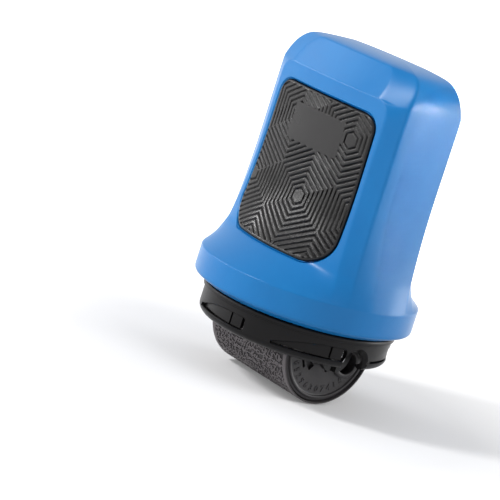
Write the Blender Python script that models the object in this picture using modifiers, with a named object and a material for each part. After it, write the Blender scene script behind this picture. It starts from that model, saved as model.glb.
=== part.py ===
# Roller stamp: a print drum turning under a round guard, in a housing that flares to a round foot
#
# Metres, +Z up along the handle, +X out of the end that is filled with ink, +Y to the back.
# The drum stands on the plane z = 0 and its axis is the joint.
import math

import bmesh
import bpy

# Driving sizes
DRUM_RADIUS = 0.016
DRUM_HALF_LENGTH = 0.0178
PANEL_HALF_WIDTH = 0.0238
GRIP_HALF_DEPTH = 0.0153
TOTAL_HEIGHT = 0.1005

# Gap left between two pieces that touch, between pieces that turn on each other, and how far a cut runs past
SEAT_GAP = 0.0003
RUNNING_GAP = 0.0003
OVERRUN = 0.002

# Distance under which the points of one outline count as the same
MERGE_DISTANCE = 0.00001

# Along the drum's axis from the drum to the axle's ends, and round the drum to its cover
AXIS_HEIGHT = DRUM_RADIUS
ARM_DRUM_GAP = 0.0011
ARM_INNER = DRUM_HALF_LENGTH + ARM_DRUM_GAP
ARM_THICKNESS = 0.0021
ARM_OUTER = ARM_INNER + ARM_THICKNESS
AXLE_END_LENGTH = 0.0021
AXLE_HALF_LENGTH = ARM_OUTER + AXLE_END_LENGTH
COVER_WALL = 0.0016
COVER_DRUM_GAP = 0.0009
COVER_RADIUS = DRUM_RADIUS + COVER_DRUM_GAP + COVER_WALL

# The foot goes round the axle's ends and round the drum's cover with its screws, whichever reach further
FOOT_BEYOND_AXLE = 0.0096
FOOT_BEYOND_COVER = 0.0142
FOOT_RADIUS = max(AXLE_HALF_LENGTH + FOOT_BEYOND_AXLE, COVER_RADIUS + FOOT_BEYOND_COVER)

# Housing: round foot, ledge, flat grip and domed crown
FOOT_ABOVE_AXIS = 0.0079
FOOT_BOTTOM = AXIS_HEIGHT + FOOT_ABOVE_AXIS
FOOT_BOTTOM_INSET = 0.0038
FOOT_BOTTOM_RADIUS = FOOT_RADIUS - FOOT_BOTTOM_INSET
FOOT_CHAMFER_INSET = 0.0006
FOOT_CHAMFER_RADIUS = FOOT_RADIUS - FOOT_CHAMFER_INSET
FOOT_CHAMFER_HEIGHT = 0.0015
FOOT_EDGE_HEIGHT = 0.0022
FOOT_WALL_HEIGHT = 0.0091
FOOT_TOP = FOOT_BOTTOM + FOOT_WALL_HEIGHT
LEDGE_HEIGHT = 0.0078
LEDGE_TOP = FOOT_TOP + LEDGE_HEIGHT
TAPER_HEIGHT = 0.0272
TAPER_TOP = LEDGE_TOP + TAPER_HEIGHT
LEDGE_FRONT_SHARE = 0.315
LEDGE_SIDE_SHARE = 0.47
PANEL_CROWNING = 0.0021
BEVEL_WIDTH = 0.0047
BEVEL_DEPTH = 0.003
SIDE_BULGE = 0.0006
CREASE_HALF_WIDTH = PANEL_HALF_WIDTH + BEVEL_WIDTH
CREASE_HALF_DEPTH = GRIP_HALF_DEPTH - PANEL_CROWNING - BEVEL_DEPTH
GRIP_HALF_WIDTH = CREASE_HALF_WIDTH + SIDE_BULGE
CAP_HEIGHT = 0.0145
CROWN_START = TOTAL_HEIGHT - CAP_HEIGHT
PANEL_TOP_DROP = 0.0103
PANEL_TOP = TOTAL_HEIGHT - PANEL_TOP_DROP
FRONT_BEVEL_DROP = 0.0017
FRONT_BEVEL_TOP = TOTAL_HEIGHT - FRONT_BEVEL_DROP
FRONT_BEVEL_SHARE = 0.69
CROWN_POWER_SHARE = 4.5
DOME_POWER_SHARE = 2.0
CROWN_HEIGHT_SHARES = (0.0, 0.5, 0.65, 0.78, 0.93, 0.975)
CROWN_FLAT_DROP = 0.0001
PANEL_STEPS = 6
SIDE_STEPS = 3
LEDGE_STEPS = 3
TAPER_STEPS = 4

# Hollow of the housing
MOUTH_RIM_WIDTH = 0.0017
MOUTH_RADIUS = FOOT_BOTTOM_RADIUS - MOUTH_RIM_WIDTH
MOUTH_DEPTH = 0.0076
MOUTH_TOP = FOOT_BOTTOM + MOUTH_DEPTH
HOLLOW_INSET = 0.0048
CROWN_WALL = 0.005
HOLLOW_TOP = TOTAL_HEIGHT - CROWN_WALL
HOLLOW_STATION_SHARES = (0.05, 0.12, 0.26, 0.5, 0.84, 0.94, 1.0)

# Grip pads, set into the two broad faces
PAD_LEDGE_OVERLAP = 0.0002
PAD_BOTTOM = LEDGE_TOP - PAD_LEDGE_OVERLAP
PAD_TOP_MARGIN = 0.0052
PAD_TOP = PANEL_TOP - PAD_TOP_MARGIN
PAD_SIDE_MARGIN = 0.0016
PAD_HALF_WIDTH = PANEL_HALF_WIDTH - PAD_SIDE_MARGIN
PAD_LOWER_ROUND = 0.0085
PAD_UPPER_ROUND = 0.0045
PAD_TOP_INSET = 0.0009
PAD_THICKNESS = 0.002
PAD_PROUD = 0.0002
PAD_CUT_INNER_REACH = 0.0058
PAD_CUT_START = GRIP_HALF_DEPTH - PAD_CUT_INNER_REACH
PAD_CUT_END = FOOT_RADIUS + OVERRUN
PAD_CUT_HALF_DEPTH = (PAD_CUT_END - PAD_CUT_START) / 2
PAD_CORNER_STEPS = 5

# Roller guard: a round bowl under the housing
GUARD_COLLAR_STEP = 0.0006
GUARD_RADIUS = FOOT_BOTTOM_RADIUS - GUARD_COLLAR_STEP
GUARD_WALL = 0.0018
GUARD_INNER_RADIUS = GUARD_RADIUS - GUARD_WALL
GUARD_TOP = FOOT_BOTTOM - SEAT_GAP
GUARD_COLLAR_RADIUS = FOOT_BOTTOM_RADIUS
GUARD_COLLAR_HEIGHT = 0.0014
GUARD_COLLAR_BOTTOM = GUARD_TOP - GUARD_COLLAR_HEIGHT
GUARD_COLLAR_BEVEL = 0.0006
GUARD_FLANGE_THICKNESS = 0.0022
GUARD_FLANGE_BOTTOM = GUARD_TOP - GUARD_FLANGE_THICKNESS
GUARD_FLANGE_RADIUS = 0.012
GUARD_BELOW_AXIS = 0.0018
GUARD_BOTTOM = AXIS_HEIGHT - GUARD_BELOW_AXIS
GUARD_LIP_INSET = 0.0027
GUARD_LIP_RADIUS = GUARD_RADIUS - GUARD_LIP_INSET
GUARD_CORNER_HEIGHT = 0.0024
GUARD_CORNER_STEPS = 4
GUARD_SEGMENTS = 72
GUARD_DRUM_END_GAP = 0.0012
GUARD_DRUM_SIDE_GAP = 0.0006
GUARD_DRUM_HALF_LENGTH = DRUM_HALF_LENGTH + GUARD_DRUM_END_GAP
GUARD_DRUM_HALF_DEPTH = DRUM_RADIUS + GUARD_DRUM_SIDE_GAP
GUARD_ARM_GAP = 0.0006
GUARD_ARM_SIDE_GAP = 0.0008
GUARD_ARM_HALF_LENGTH = ARM_OUTER + GUARD_ARM_GAP

# Ramp windows round the guard: a wedge that rises to a snap tongue between two slits
WINDOW_ENDS_DEG = (-7.0, -71.0, -131.0, 173.0, 113.0, 53.0)
WINDOW_SPAN_DEG = 46.0
WINDOW_FIRST_SPAN_DEG = 41.5
WINDOW_TONGUE_DEG = 9.5
WINDOW_TONGUE_END_DEG = 2.4
WINDOW_SLIT_DEG = 1.2
WINDOW_ABOVE_EDGE = 0.0023
WINDOW_LOW = GUARD_BOTTOM + WINDOW_ABOVE_EDGE
WINDOW_TIP_HEIGHT = 0.0006
WINDOW_HEIGHT = 0.0037
WINDOW_HIGH = WINDOW_LOW + WINDOW_HEIGHT
WINDOW_TONGUE_INSET = 0.0007
WINDOW_CUT_INNER = GUARD_INNER_RADIUS - OVERRUN
WINDOW_CUT_OUTER = GUARD_RADIUS + OVERRUN
WINDOW_STEPS = 6
NOTCH_RADIUS = 0.004
NOTCH_OFFSET = 0.0011
NOTCH_BELOW_AXIS = 0.0005
NOTCH_HEIGHT = AXIS_HEIGHT - NOTCH_BELOW_AXIS
NOTCH_CUT_DEPTH = 0.0036
NOTCH_STEPS = 20

# Carrier: the deck, drum cover and arms that hold the axle
DECK_RADIUS = MOUTH_RADIUS - SEAT_GAP
DECK_THICKNESS = 0.0022
DECK_BOTTOM = GUARD_TOP + SEAT_GAP
ARM_TOP_HALF_DEPTH = 0.007
GUARD_ARM_HALF_DEPTH = ARM_TOP_HALF_DEPTH + GUARD_ARM_SIDE_GAP
ARM_END_RADIUS = 0.0052
ARM_SLOT_HALF_WIDTH = 0.0011
ARM_OVERLAP = 0.001
ROUND_SEGMENTS = 44

# Screws that clamp guard and carrier to four posts in the housing
SCREW_X = 0.0095
SCREW_RIM_DISTANCE = 0.0062
SCREW_Y = MOUTH_RADIUS - SCREW_RIM_DISTANCE
SCREW_SHANK_RADIUS = 0.0013
SCREW_HOLE_RADIUS = SCREW_SHANK_RADIUS + SEAT_GAP
SCREW_HEAD_RADIUS = 0.0024
SCREW_HEAD_HEIGHT = 0.0016
SCREW_HEAD_EDGE = 0.0004
SCREW_TOP = FOOT_TOP
SCREW_TIP_HEIGHT = 0.001
SCREW_TIP_RADIUS = 0.0005
SCREW_SEGMENTS = 16
POST_RADIUS = 0.003
POST_BOTTOM = DECK_BOTTOM + DECK_THICKNESS + SEAT_GAP
POST_ABOVE_SCREW = 0.0031
POST_TOP = SCREW_TOP + POST_ABOVE_SCREW
POST_SEGMENTS = 24
PILOT_ABOVE_SCREW = 0.001
PILOT_TOP = SCREW_TOP + PILOT_ABOVE_SCREW

# Axle, its clips and washers
AXLE_RADIUS = 0.00125
AXLE_EDGE = 0.0003
AXLE_SEGMENTS = 24
CLIP_THICKNESS = 0.0005
CLIP_GROOVE_RADIUS = 0.0009
CLIP_RADIUS = 0.0026
CLIP_MOUTH_DEG = 50.0
CLIP_STEPS = 14
WASHER_THICKNESS = 0.0003
WASHER_RADIUS = 0.0032
BUSH_BORE = AXLE_RADIUS + RUNNING_GAP

# End discs, in the bore of the print sleeve
SLEEVE_WALL = 0.0011
SLEEVE_BORE = DRUM_RADIUS - SLEEVE_WALL
SLEEVE_BORE_STEP = 0.0006
DISC_RADIUS = SLEEVE_BORE + SLEEVE_BORE_STEP - SEAT_GAP
DISC_SINK = 0.0006
DISC_THICKNESS = 0.0015
DISC_OUTER_FACE = DRUM_HALF_LENGTH - DISC_SINK
DISC_INNER_FACE = DISC_OUTER_FACE - DISC_THICKNESS
DISC_EDGE = 0.0003
RIM_INSET = 0.0009
RIM_RADIUS = DISC_RADIUS - RIM_INSET
RIM_WIDTH = 0.0007
RIM_SLOPE = 0.0003
HUB_RADIUS = 0.0033
HUB_BORE = 0.0025
HUB_PROUD = 0.0001
HUB_LENGTH = 0.005
HUB_OUTER_FACE = DRUM_HALF_LENGTH + HUB_PROUD
HUB_INNER_FACE = HUB_OUTER_FACE - HUB_LENGTH
SPIGOT_RADIUS = 0.004
DISC_SEGMENTS = 48
BUSH_RADIUS = HUB_BORE - SEAT_GAP

# Drum: core, felt and print sleeve round each other
SLEEVE_RELIEF = 0.0002
SLEEVE_BAND = 0.0014
SLEEVE_STEP_DEPTH = 0.0024
SLEEVE_SEGMENTS = 64
FELT_THICKNESS = 0.0006
FELT_RADIUS = SLEEVE_BORE - SEAT_GAP
CORE_WALL = 0.0007
CORE_RADIUS = FELT_RADIUS - FELT_THICKNESS - SEAT_GAP
CORE_END_GAP = 0.0005
CORE_HALF_LENGTH = DISC_INNER_FACE - CORE_END_GAP
CORE_HOLE_RADIUS = 0.0012
CORE_HOLE_PITCH = 0.009
CORE_HOLE_ROWS = 3
CORE_HOLES_PER_ROW = 6
CORE_HOLE_STEPS = 8
SEAL_SECTION_RADIUS = 0.00045
SEAL_INSET = 0.0003
SEAL_RADIUS = CORE_RADIUS - SEAL_INSET
SEAL_GROOVE_DEPTH = 0.001
SEAL_SEGMENTS = 36
SEAL_SECTION_STEPS = 6

# Filling port and its valve
PORT_ANGLE_DEG = -20.4
PORT_HUB_GAP = 0.0004
PORT_RIM_GAP = 0.0007
PORT_INNER_SIDE = HUB_RADIUS + PORT_HUB_GAP
PORT_OUTER_SIDE = RIM_RADIUS - RIM_WIDTH - PORT_RIM_GAP
PORT_OFFSET = (PORT_INNER_SIDE + PORT_OUTER_SIDE) / 2
PORT_FLANGE_RADIUS = (PORT_OUTER_SIDE - PORT_INNER_SIDE) / 2
PORT_FLANGE_WIDTH = 0.0009
PORT_TUBE_RADIUS = PORT_FLANGE_RADIUS - PORT_FLANGE_WIDTH
PORT_WALL = 0.00055
PORT_BORE = PORT_TUBE_RADIUS - PORT_WALL
PORT_MOUTH_FLARE = 0.0004
PORT_FLANGE_THICKNESS = 0.0006
PORT_OUTER_END = DISC_OUTER_FACE + SEAT_GAP + PORT_FLANGE_THICKNESS
PORT_TUBE_LENGTH = 0.0054
PORT_INNER_END = DISC_OUTER_FACE - PORT_TUBE_LENGTH
PORT_STEP = 0.0005
PORT_SEGMENTS = 24
VALVE_THICKNESS = 0.0016
VALVE_BEAK_LENGTH = 0.0016
VALVE_BEAK_HALF_WIDTH = 0.0007

# Colours, linear, with roughness and metallic
BLUE = ((0.019, 0.212, 0.552, 1.0), 0.3, 0.0)
PAD_GREY = ((0.053, 0.048, 0.05, 1.0), 0.75, 0.0)
CHASSIS_BLACK = ((0.021, 0.02, 0.021, 1.0), 0.35, 0.0)
RUBBER_GREY = ((0.08, 0.072, 0.076, 1.0), 0.6, 0.0)
DISC_GREY = ((0.061, 0.058, 0.061, 1.0), 0.4, 0.0)
INNER_GREY = ((0.05, 0.05, 0.052, 1.0), 0.5, 0.0)
FELT_GREY = ((0.06, 0.06, 0.065, 1.0), 0.95, 0.0)
STEEL = ((0.55, 0.55, 0.56, 1.0), 0.3, 1.0)
ACETAL_WHITE = ((0.8, 0.8, 0.78, 1.0), 0.4, 0.0)
SEAL_BLACK = ((0.01, 0.01, 0.01, 1.0), 0.6, 0.0)


def clear_scene():
    for obj in list(bpy.data.objects):
        bpy.data.objects.remove(obj, do_unlink=True)


def new_collection(name, hidden):
    collection = bpy.data.collections.new(name)
    bpy.context.scene.collection.children.link(collection)
    collection.hide_render = hidden
    return collection


def material(name, look):
    colour, roughness, metallic = look
    made = bpy.data.materials.new(name)
    made.use_nodes = True
    shader = made.node_tree.nodes["Principled BSDF"]
    shader.inputs["Base Color"].default_value = colour
    shader.inputs["Roughness"].default_value = roughness
    shader.inputs["Metallic"].default_value = metallic
    made.diffuse_color = colour
    return made


def part_object(name, mesh, look, parent=None):
    """A named sub-part in the stamp's collection, with a material of its own."""
    obj = bpy.data.objects.new(name, mesh)
    PARTS.objects.link(obj)
    mesh.materials.append(material(name + "_material", look))
    obj.parent = parent
    return obj


def cutter_object(name, mesh, parent=None):
    """A helper that only Boolean modifiers use."""
    obj = bpy.data.objects.new(name, mesh)
    CUTTERS.objects.link(obj)
    obj.hide_render = True
    obj.display_type = "WIRE"
    obj.parent = parent
    return obj


def mesh_from_bmesh(name, bm):
    bmesh.ops.recalc_face_normals(bm, faces=bm.faces)
    mesh = bpy.data.meshes.new(name)
    bm.to_mesh(mesh)
    bm.free()
    return mesh


def loft_mesh(name, rings):
    """Closed solid through rings with the same number of points, from the lowest to the highest."""
    bm = bmesh.new()
    loops = [[bm.verts.new(point) for point in ring] for ring in rings]
    for low, high in zip(loops, loops[1:]):
        for i, vert in enumerate(low):
            after = (i + 1) % len(low)
            bm.faces.new((vert, low[after], high[after], high[i]))
    bm.faces.new(loops[0])
    bm.faces.new(loops[-1])
    return mesh_from_bmesh(name, bm)


def profile_mesh(name, points, closed):
    """Edges through (radius, height) points, for a Screw modifier about Z."""
    bm = bmesh.new()
    verts = [bm.verts.new((radius, 0, height)) for radius, height in points]
    for start, end in zip(verts, verts[1:]):
        bm.edges.new((start, end))
    if closed:
        bm.edges.new((verts[-1], verts[0]))
    mesh = bpy.data.meshes.new(name)
    bm.to_mesh(mesh)
    bm.free()
    return mesh


def turn(obj, steps):
    screw = obj.modifiers.new("turn", "SCREW")
    screw.axis = "Z"
    screw.angle = math.tau
    screw.steps = steps
    screw.render_steps = steps
    screw.use_merge_vertices = True
    screw.merge_threshold = MERGE_DISTANCE
    screw.use_smooth_shade = False
    return screw


def boolean(obj, other, operation="DIFFERENCE", solver="EXACT"):
    cut = obj.modifiers.new(other.name, "BOOLEAN")
    cut.operation = operation
    cut.solver = solver
    cut.object = other
    return cut


def box_mesh(name, half_x, half_y, low, high):
    bm = bmesh.new()
    bmesh.ops.create_cube(bm, size=1)
    for vert in bm.verts:
        vert.co.x = math.copysign(half_x, vert.co.x)
        vert.co.y = math.copysign(half_y, vert.co.y)
        vert.co.z = high if vert.co.z > 0 else low
    return mesh_from_bmesh(name, bm)


def rod_mesh(name, radius, low, high, segments):
    """Round rod along Z."""
    bm = bmesh.new()
    bmesh.ops.create_cone(
        bm, cap_ends=True, segments=segments, radius1=radius, radius2=radius, depth=high - low
    )
    for vert in bm.verts:
        vert.co.z += (high + low) / 2
    return mesh_from_bmesh(name, bm)


def plate_mesh(name, outline, half_thickness):
    """Flat plate from a closed outline in XY, thick along Z."""
    curve = bpy.data.curves.new(name + "_outline", "CURVE")
    curve.dimensions = "2D"
    curve.fill_mode = "BOTH"
    curve.extrude = half_thickness
    spline = curve.splines.new("POLY")
    spline.points.add(len(outline) - 1)
    for point, (x, y) in zip(spline.points, outline):
        point.co = (x, y, 0, 1)
    spline.use_cyclic_u = True
    helper = bpy.data.objects.new(name + "_outline", curve)
    CUTTERS.objects.link(helper)
    bpy.context.view_layer.update()
    mesh = bpy.data.meshes.new_from_object(helper)
    bpy.data.objects.remove(helper, do_unlink=True)
    bm = bmesh.new()
    bm.from_mesh(mesh)
    bmesh.ops.remove_doubles(bm, verts=bm.verts, dist=MERGE_DISTANCE)
    bm.to_mesh(mesh)
    bm.free()
    mesh.name = name
    mesh.materials.clear()
    return mesh


def arc(centre_x, centre_y, radius, start_deg, end_deg, steps):
    """Points of an arc, both ends included."""
    points = []
    for i in range(steps + 1):
        angle = math.radians(start_deg + (end_deg - start_deg) * i / steps)
        points.append((centre_x + radius * math.cos(angle), centre_y + radius * math.sin(angle)))
    return points


# Housing sections


def grip_quarter():
    """Quarter of the grip's section, from the middle of the broad face to the middle of the side."""
    points = []
    for i in range(PANEL_STEPS + 1):
        x = PANEL_HALF_WIDTH * i / PANEL_STEPS
        points.append((x, GRIP_HALF_DEPTH - PANEL_CROWNING * (i / PANEL_STEPS) ** 2))
    panel_edge = points[-1]
    points.append(((panel_edge[0] + CREASE_HALF_WIDTH) / 2, (panel_edge[1] + CREASE_HALF_DEPTH) / 2))
    for i in range(SIDE_STEPS + 1):
        y = CREASE_HALF_DEPTH * (1 - i / SIDE_STEPS)
        bulge = (GRIP_HALF_WIDTH - CREASE_HALF_WIDTH) * (1 - (y / CREASE_HALF_DEPTH) ** 2)
        points.append((CREASE_HALF_WIDTH + bulge, y))
    return points


def round_share(z, x):
    """How far the section has turned from the flat grip (0) into the round foot (1).

    The ledge is steep at the middle of the broad face, x = 0, and flares softly at the sides.
    """
    side = min(1.0, x / CREASE_HALF_WIDTH) ** 2
    at_ledge = LEDGE_FRONT_SHARE + (LEDGE_SIDE_SHARE - LEDGE_FRONT_SHARE) * side
    if z <= FOOT_TOP:
        return 1.0
    if z <= LEDGE_TOP:
        return 1.0 - (1.0 - at_ledge) * (z - FOOT_TOP) / (LEDGE_TOP - FOOT_TOP)
    if z < TAPER_TOP:
        return at_ledge * ((TAPER_TOP - z) / (TAPER_TOP - LEDGE_TOP)) ** 2
    return 0.0


def crown_shares(z):
    """Width and depth shares of the grip's section left at a height of the crown."""
    width = 1.0
    depth = 1.0
    if z > CROWN_START:
        up = (z - CROWN_START) / CAP_HEIGHT
        width = (1 - up**CROWN_POWER_SHARE) ** (1 / CROWN_POWER_SHARE)
    if z > PANEL_TOP:
        along = min(1.0, (z - PANEL_TOP) / (FRONT_BEVEL_TOP - PANEL_TOP))
        depth = 1 - (1 - FRONT_BEVEL_SHARE) * along
    if z > FRONT_BEVEL_TOP:
        up = (z - FRONT_BEVEL_TOP) / (TOTAL_HEIGHT - FRONT_BEVEL_TOP)
        depth = FRONT_BEVEL_SHARE * (1 - up**DOME_POWER_SHARE) ** (1 / DOME_POWER_SHARE)
    return width, depth


def full_ring(quarter, z):
    """Mirrors a quarter section to a whole ring at height z."""
    front_to_side = quarter
    side_to_back = [(x, -y) for x, y in reversed(quarter[:-1])]
    half = front_to_side + side_to_back
    other = [(-x, y) for x, y in reversed(half[1:-1])]
    return [(x, -y, z) for x, y in half + other]


def housing_ring(z, inset=0.0, foot_radius=FOOT_RADIUS, level=None):
    """Section of the housing at height z, moved in by the inset and placed at the level."""
    width, depth = crown_shares(z)
    quarter = []
    for x, y in grip_quarter():
        turned_share = round_share(z, x)
        angle = math.atan2(y, x)
        reach = math.hypot(x * width, y * depth)
        direction = math.atan2(y * depth, x * width)
        direction += (angle - direction) * turned_share
        reach += (foot_radius - reach) * turned_share
        reach -= inset
        quarter.append((reach * math.cos(direction), reach * math.sin(direction)))
    return full_ring(quarter, z if level is None else level)


def housing_rings():
    rings = []
    edge = (
        (FOOT_BOTTOM_RADIUS, FOOT_BOTTOM),
        (FOOT_CHAMFER_RADIUS, FOOT_BOTTOM + FOOT_CHAMFER_HEIGHT),
        (FOOT_RADIUS, FOOT_BOTTOM + FOOT_EDGE_HEIGHT),
    )
    for radius, level in edge:
        rings.append(housing_ring(FOOT_BOTTOM, foot_radius=radius, level=level))
    for i in range(LEDGE_STEPS + 1):
        rings.append(housing_ring(FOOT_TOP + (LEDGE_TOP - FOOT_TOP) * i / LEDGE_STEPS))
    for i in range(1, TAPER_STEPS + 1):
        rings.append(housing_ring(LEDGE_TOP + (TAPER_TOP - LEDGE_TOP) * i / TAPER_STEPS))
    heights = {CROWN_START + CAP_HEIGHT * share for share in CROWN_HEIGHT_SHARES}
    heights |= {PANEL_TOP, FRONT_BEVEL_TOP}
    for z in sorted(heights):
        rings.append(housing_ring(z))
    rings.append(housing_ring(TOTAL_HEIGHT - CROWN_FLAT_DROP, level=TOTAL_HEIGHT))
    return rings


def hollow_rings():
    rings = []
    for level in (FOOT_BOTTOM - OVERRUN, MOUTH_TOP):
        rings.append(housing_ring(FOOT_BOTTOM, foot_radius=MOUTH_RADIUS, level=level))
    for share in HOLLOW_STATION_SHARES:
        z = MOUTH_TOP + (HOLLOW_TOP - MOUTH_TOP) * share
        rings.append(housing_ring(z, inset=HOLLOW_INSET))
    return rings


def pad_outline(gap):
    """Outline of a grip pad: wide rounds at the foot, small ones at the top, and a slight taper."""
    half_top = PAD_HALF_WIDTH - PAD_TOP_INSET
    low_round = PAD_LOWER_ROUND + gap
    high_round = PAD_UPPER_ROUND + gap
    right = arc(
        PAD_HALF_WIDTH + gap - low_round, PAD_BOTTOM - gap + low_round, low_round, -90, 0, PAD_CORNER_STEPS
    )
    right += arc(
        half_top + gap - high_round, PAD_TOP + gap - high_round, high_round, 0, 90, PAD_CORNER_STEPS
    )
    return right + [(-x, z) for x, z in reversed(right)]


def pad_prism(name, gap, side):
    """The pad's outline as a prism that runs from inside the grip out past the surface."""
    prism = cutter_object(name, plate_mesh(name, pad_outline(gap), PAD_CUT_HALF_DEPTH))
    stand_at_face(prism, side)
    return prism


def stand_at_face(obj, side):
    """Turns a plate upright and centres it on the depth of the pads' cut."""
    obj.rotation_euler = (math.radians(90), 0, 0)
    obj.location = (0, side * (PAD_CUT_START + PAD_CUT_HALF_DEPTH), 0)


def shifted_body(name, shift):
    """Copy of the housing's outer form, moved along Y."""
    body = cutter_object(name, loft_mesh(name, housing_rings()))
    body.location = (0, shift, 0)
    return body


# Housing, moulded in one piece


def make_housing():
    housing = part_object("housing_shell", loft_mesh("housing_shell", housing_rings()), BLUE)
    boolean(housing, cutter_object("housing_hollow", loft_mesh("housing_hollow", hollow_rings())))
    for name, side in (("front", -1), ("rear", 1)):
        recess = pad_prism(name + "_pad_recess", SEAT_GAP, side)
        boolean(recess, shifted_body(name + "_recess_floor", -side * (PAD_THICKNESS + SEAT_GAP)))
        boolean(housing, recess)
    posts = cutter_object(
        "housing_posts", rod_mesh("housing_posts", POST_RADIUS, POST_BOTTOM, POST_TOP, POST_SEGMENTS)
    )
    four_places(posts)
    boolean(housing, posts, "UNION")
    pilots = cutter_object(
        "housing_pilot_holes",
        rod_mesh("housing_pilot_holes", SCREW_HOLE_RADIUS, POST_BOTTOM - OVERRUN, PILOT_TOP, SCREW_SEGMENTS),
    )
    four_places(pilots)
    boolean(housing, pilots)


def four_places(obj):
    """Repeats an object at the four screw places."""
    obj.location = (-SCREW_X, -SCREW_Y, 0)
    for axis, pitch in enumerate((2 * SCREW_X, 2 * SCREW_Y)):
        copies = obj.modifiers.new("places", "ARRAY")
        copies.count = 2
        copies.use_relative_offset = False
        copies.use_constant_offset = True
        offset = [0, 0, 0]
        offset[axis] = pitch
        copies.constant_offset_displace = offset


# Grip pads, soft mouldings that follow the broad faces


def make_pads():
    for name, side in (("front", -1), ("rear", 1)):
        mesh = plate_mesh(name + "_grip_pad", pad_outline(0), PAD_CUT_HALF_DEPTH)
        pad = part_object(name + "_grip_pad", mesh, PAD_GREY)
        stand_at_face(pad, side)
        boolean(pad, shifted_body(name + "_pad_face", side * PAD_PROUD), "INTERSECT")
        boolean(pad, shifted_body(name + "_pad_back", -side * PAD_THICKNESS))


# Roller guard


def guard_profile():
    outer_corner = []
    inner_corner = []
    for i in range(GUARD_CORNER_STEPS + 1):
        angle = math.radians(90) * i / GUARD_CORNER_STEPS
        drop = GUARD_CORNER_HEIGHT * (1 - math.sin(angle))
        reach = (GUARD_RADIUS - GUARD_LIP_RADIUS) * (1 - math.cos(angle))
        outer_corner.append((GUARD_RADIUS - reach, GUARD_BOTTOM + drop))
        inner_corner.append((GUARD_INNER_RADIUS - reach, GUARD_BOTTOM + drop + GUARD_WALL / 2))
    return [
        (GUARD_FLANGE_RADIUS, GUARD_TOP),
        (GUARD_COLLAR_RADIUS - GUARD_COLLAR_BEVEL, GUARD_TOP),
        (GUARD_COLLAR_RADIUS, GUARD_TOP - GUARD_COLLAR_BEVEL),
        (GUARD_COLLAR_RADIUS, GUARD_COLLAR_BOTTOM),
        (GUARD_RADIUS, GUARD_COLLAR_BOTTOM - GUARD_COLLAR_BEVEL),
        *outer_corner,
        *reversed(inner_corner),
        (GUARD_INNER_RADIUS, GUARD_FLANGE_BOTTOM),
        (GUARD_FLANGE_RADIUS, GUARD_FLANGE_BOTTOM),
    ]


def wall_piece(bm, stations, inner, outer):
    """Curved block through the guard's wall: stations are (angle, low, high)."""
    loops = []
    for angle_deg, low, high in stations:
        angle = math.radians(angle_deg)
        corners = ((inner, low), (outer, low), (outer, high), (inner, high))
        loops.append(
            [bm.verts.new((radius * math.cos(angle), radius * math.sin(angle), z)) for radius, z in corners]
        )
    for before, after in zip(loops, loops[1:]):
        for i, vert in enumerate(before):
            following = (i + 1) % len(before)
            bm.faces.new((vert, before[following], after[following], after[i]))
    bm.faces.new(loops[0])
    bm.faces.new(loops[-1])


def window_cutters():
    """Ramp windows, all turned the same way, each with two slits beside its snap tongue."""
    bm = bmesh.new()
    inner = WINDOW_CUT_INNER
    outer = WINDOW_CUT_OUTER
    for end in WINDOW_ENDS_DEG:
        span = WINDOW_FIRST_SPAN_DEG if end == WINDOW_ENDS_DEG[-1] else WINDOW_SPAN_DEG
        tongue_start = end - WINDOW_TONGUE_END_DEG - WINDOW_TONGUE_DEG
        rise = []
        for i in range(WINDOW_STEPS + 1):
            share = i / WINDOW_STEPS
            high = WINDOW_LOW + WINDOW_TIP_HEIGHT
            high += (WINDOW_HIGH - high) * math.sin(math.radians(90) * share)
            start = end - span
            rise.append((start + (tongue_start - start) * share, WINDOW_LOW, high))
        wall_piece(bm, rise, inner, outer)
        last = end - WINDOW_TONGUE_END_DEG
        wall_piece(bm, [(last, WINDOW_LOW, WINDOW_HIGH), (end, WINDOW_LOW, WINDOW_HIGH)], inner, outer)
        face = GUARD_RADIUS - WINDOW_TONGUE_INSET
        skin = [(tongue_start + WINDOW_SLIT_DEG, WINDOW_LOW, WINDOW_HIGH)]
        skin.append((last - WINDOW_SLIT_DEG, WINDOW_LOW, WINDOW_HIGH))
        wall_piece(bm, skin, face, outer)
    return mesh_from_bmesh("guard_windows", bm)


def make_guard():
    guard = part_object("roller_guard", profile_mesh("roller_guard", guard_profile(), True), CHASSIS_BLACK)
    turn(guard, GUARD_SEGMENTS)
    low = GUARD_FLANGE_BOTTOM - OVERRUN
    high = GUARD_TOP + OVERRUN
    drum_mesh = box_mesh("guard_drum_opening", GUARD_DRUM_HALF_LENGTH, GUARD_DRUM_HALF_DEPTH, low, high)
    boolean(guard, cutter_object("guard_drum_opening", drum_mesh))
    arm_mesh = box_mesh("guard_arm_opening", GUARD_ARM_HALF_LENGTH, GUARD_ARM_HALF_DEPTH, low, high)
    boolean(guard, cutter_object("guard_arm_opening", arm_mesh))
    holes = cutter_object(
        "guard_screw_holes", rod_mesh("guard_screw_holes", SCREW_HOLE_RADIUS, low, high, SCREW_SEGMENTS)
    )
    four_places(holes)
    boolean(guard, holes)
    boolean(guard, cutter_object("guard_windows", window_cutters()))
    notch_mesh = rod_mesh(
        "guard_notch", NOTCH_RADIUS, GUARD_LIP_RADIUS - NOTCH_CUT_DEPTH, WINDOW_CUT_OUTER, NOTCH_STEPS
    )
    notch = cutter_object("guard_notch", notch_mesh)
    notch.rotation_euler = (0, math.radians(90), 0)
    notch.location = (0, NOTCH_OFFSET, NOTCH_HEIGHT)
    boolean(guard, notch)


# Carrier with its deck, drum cover and two arms


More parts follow.
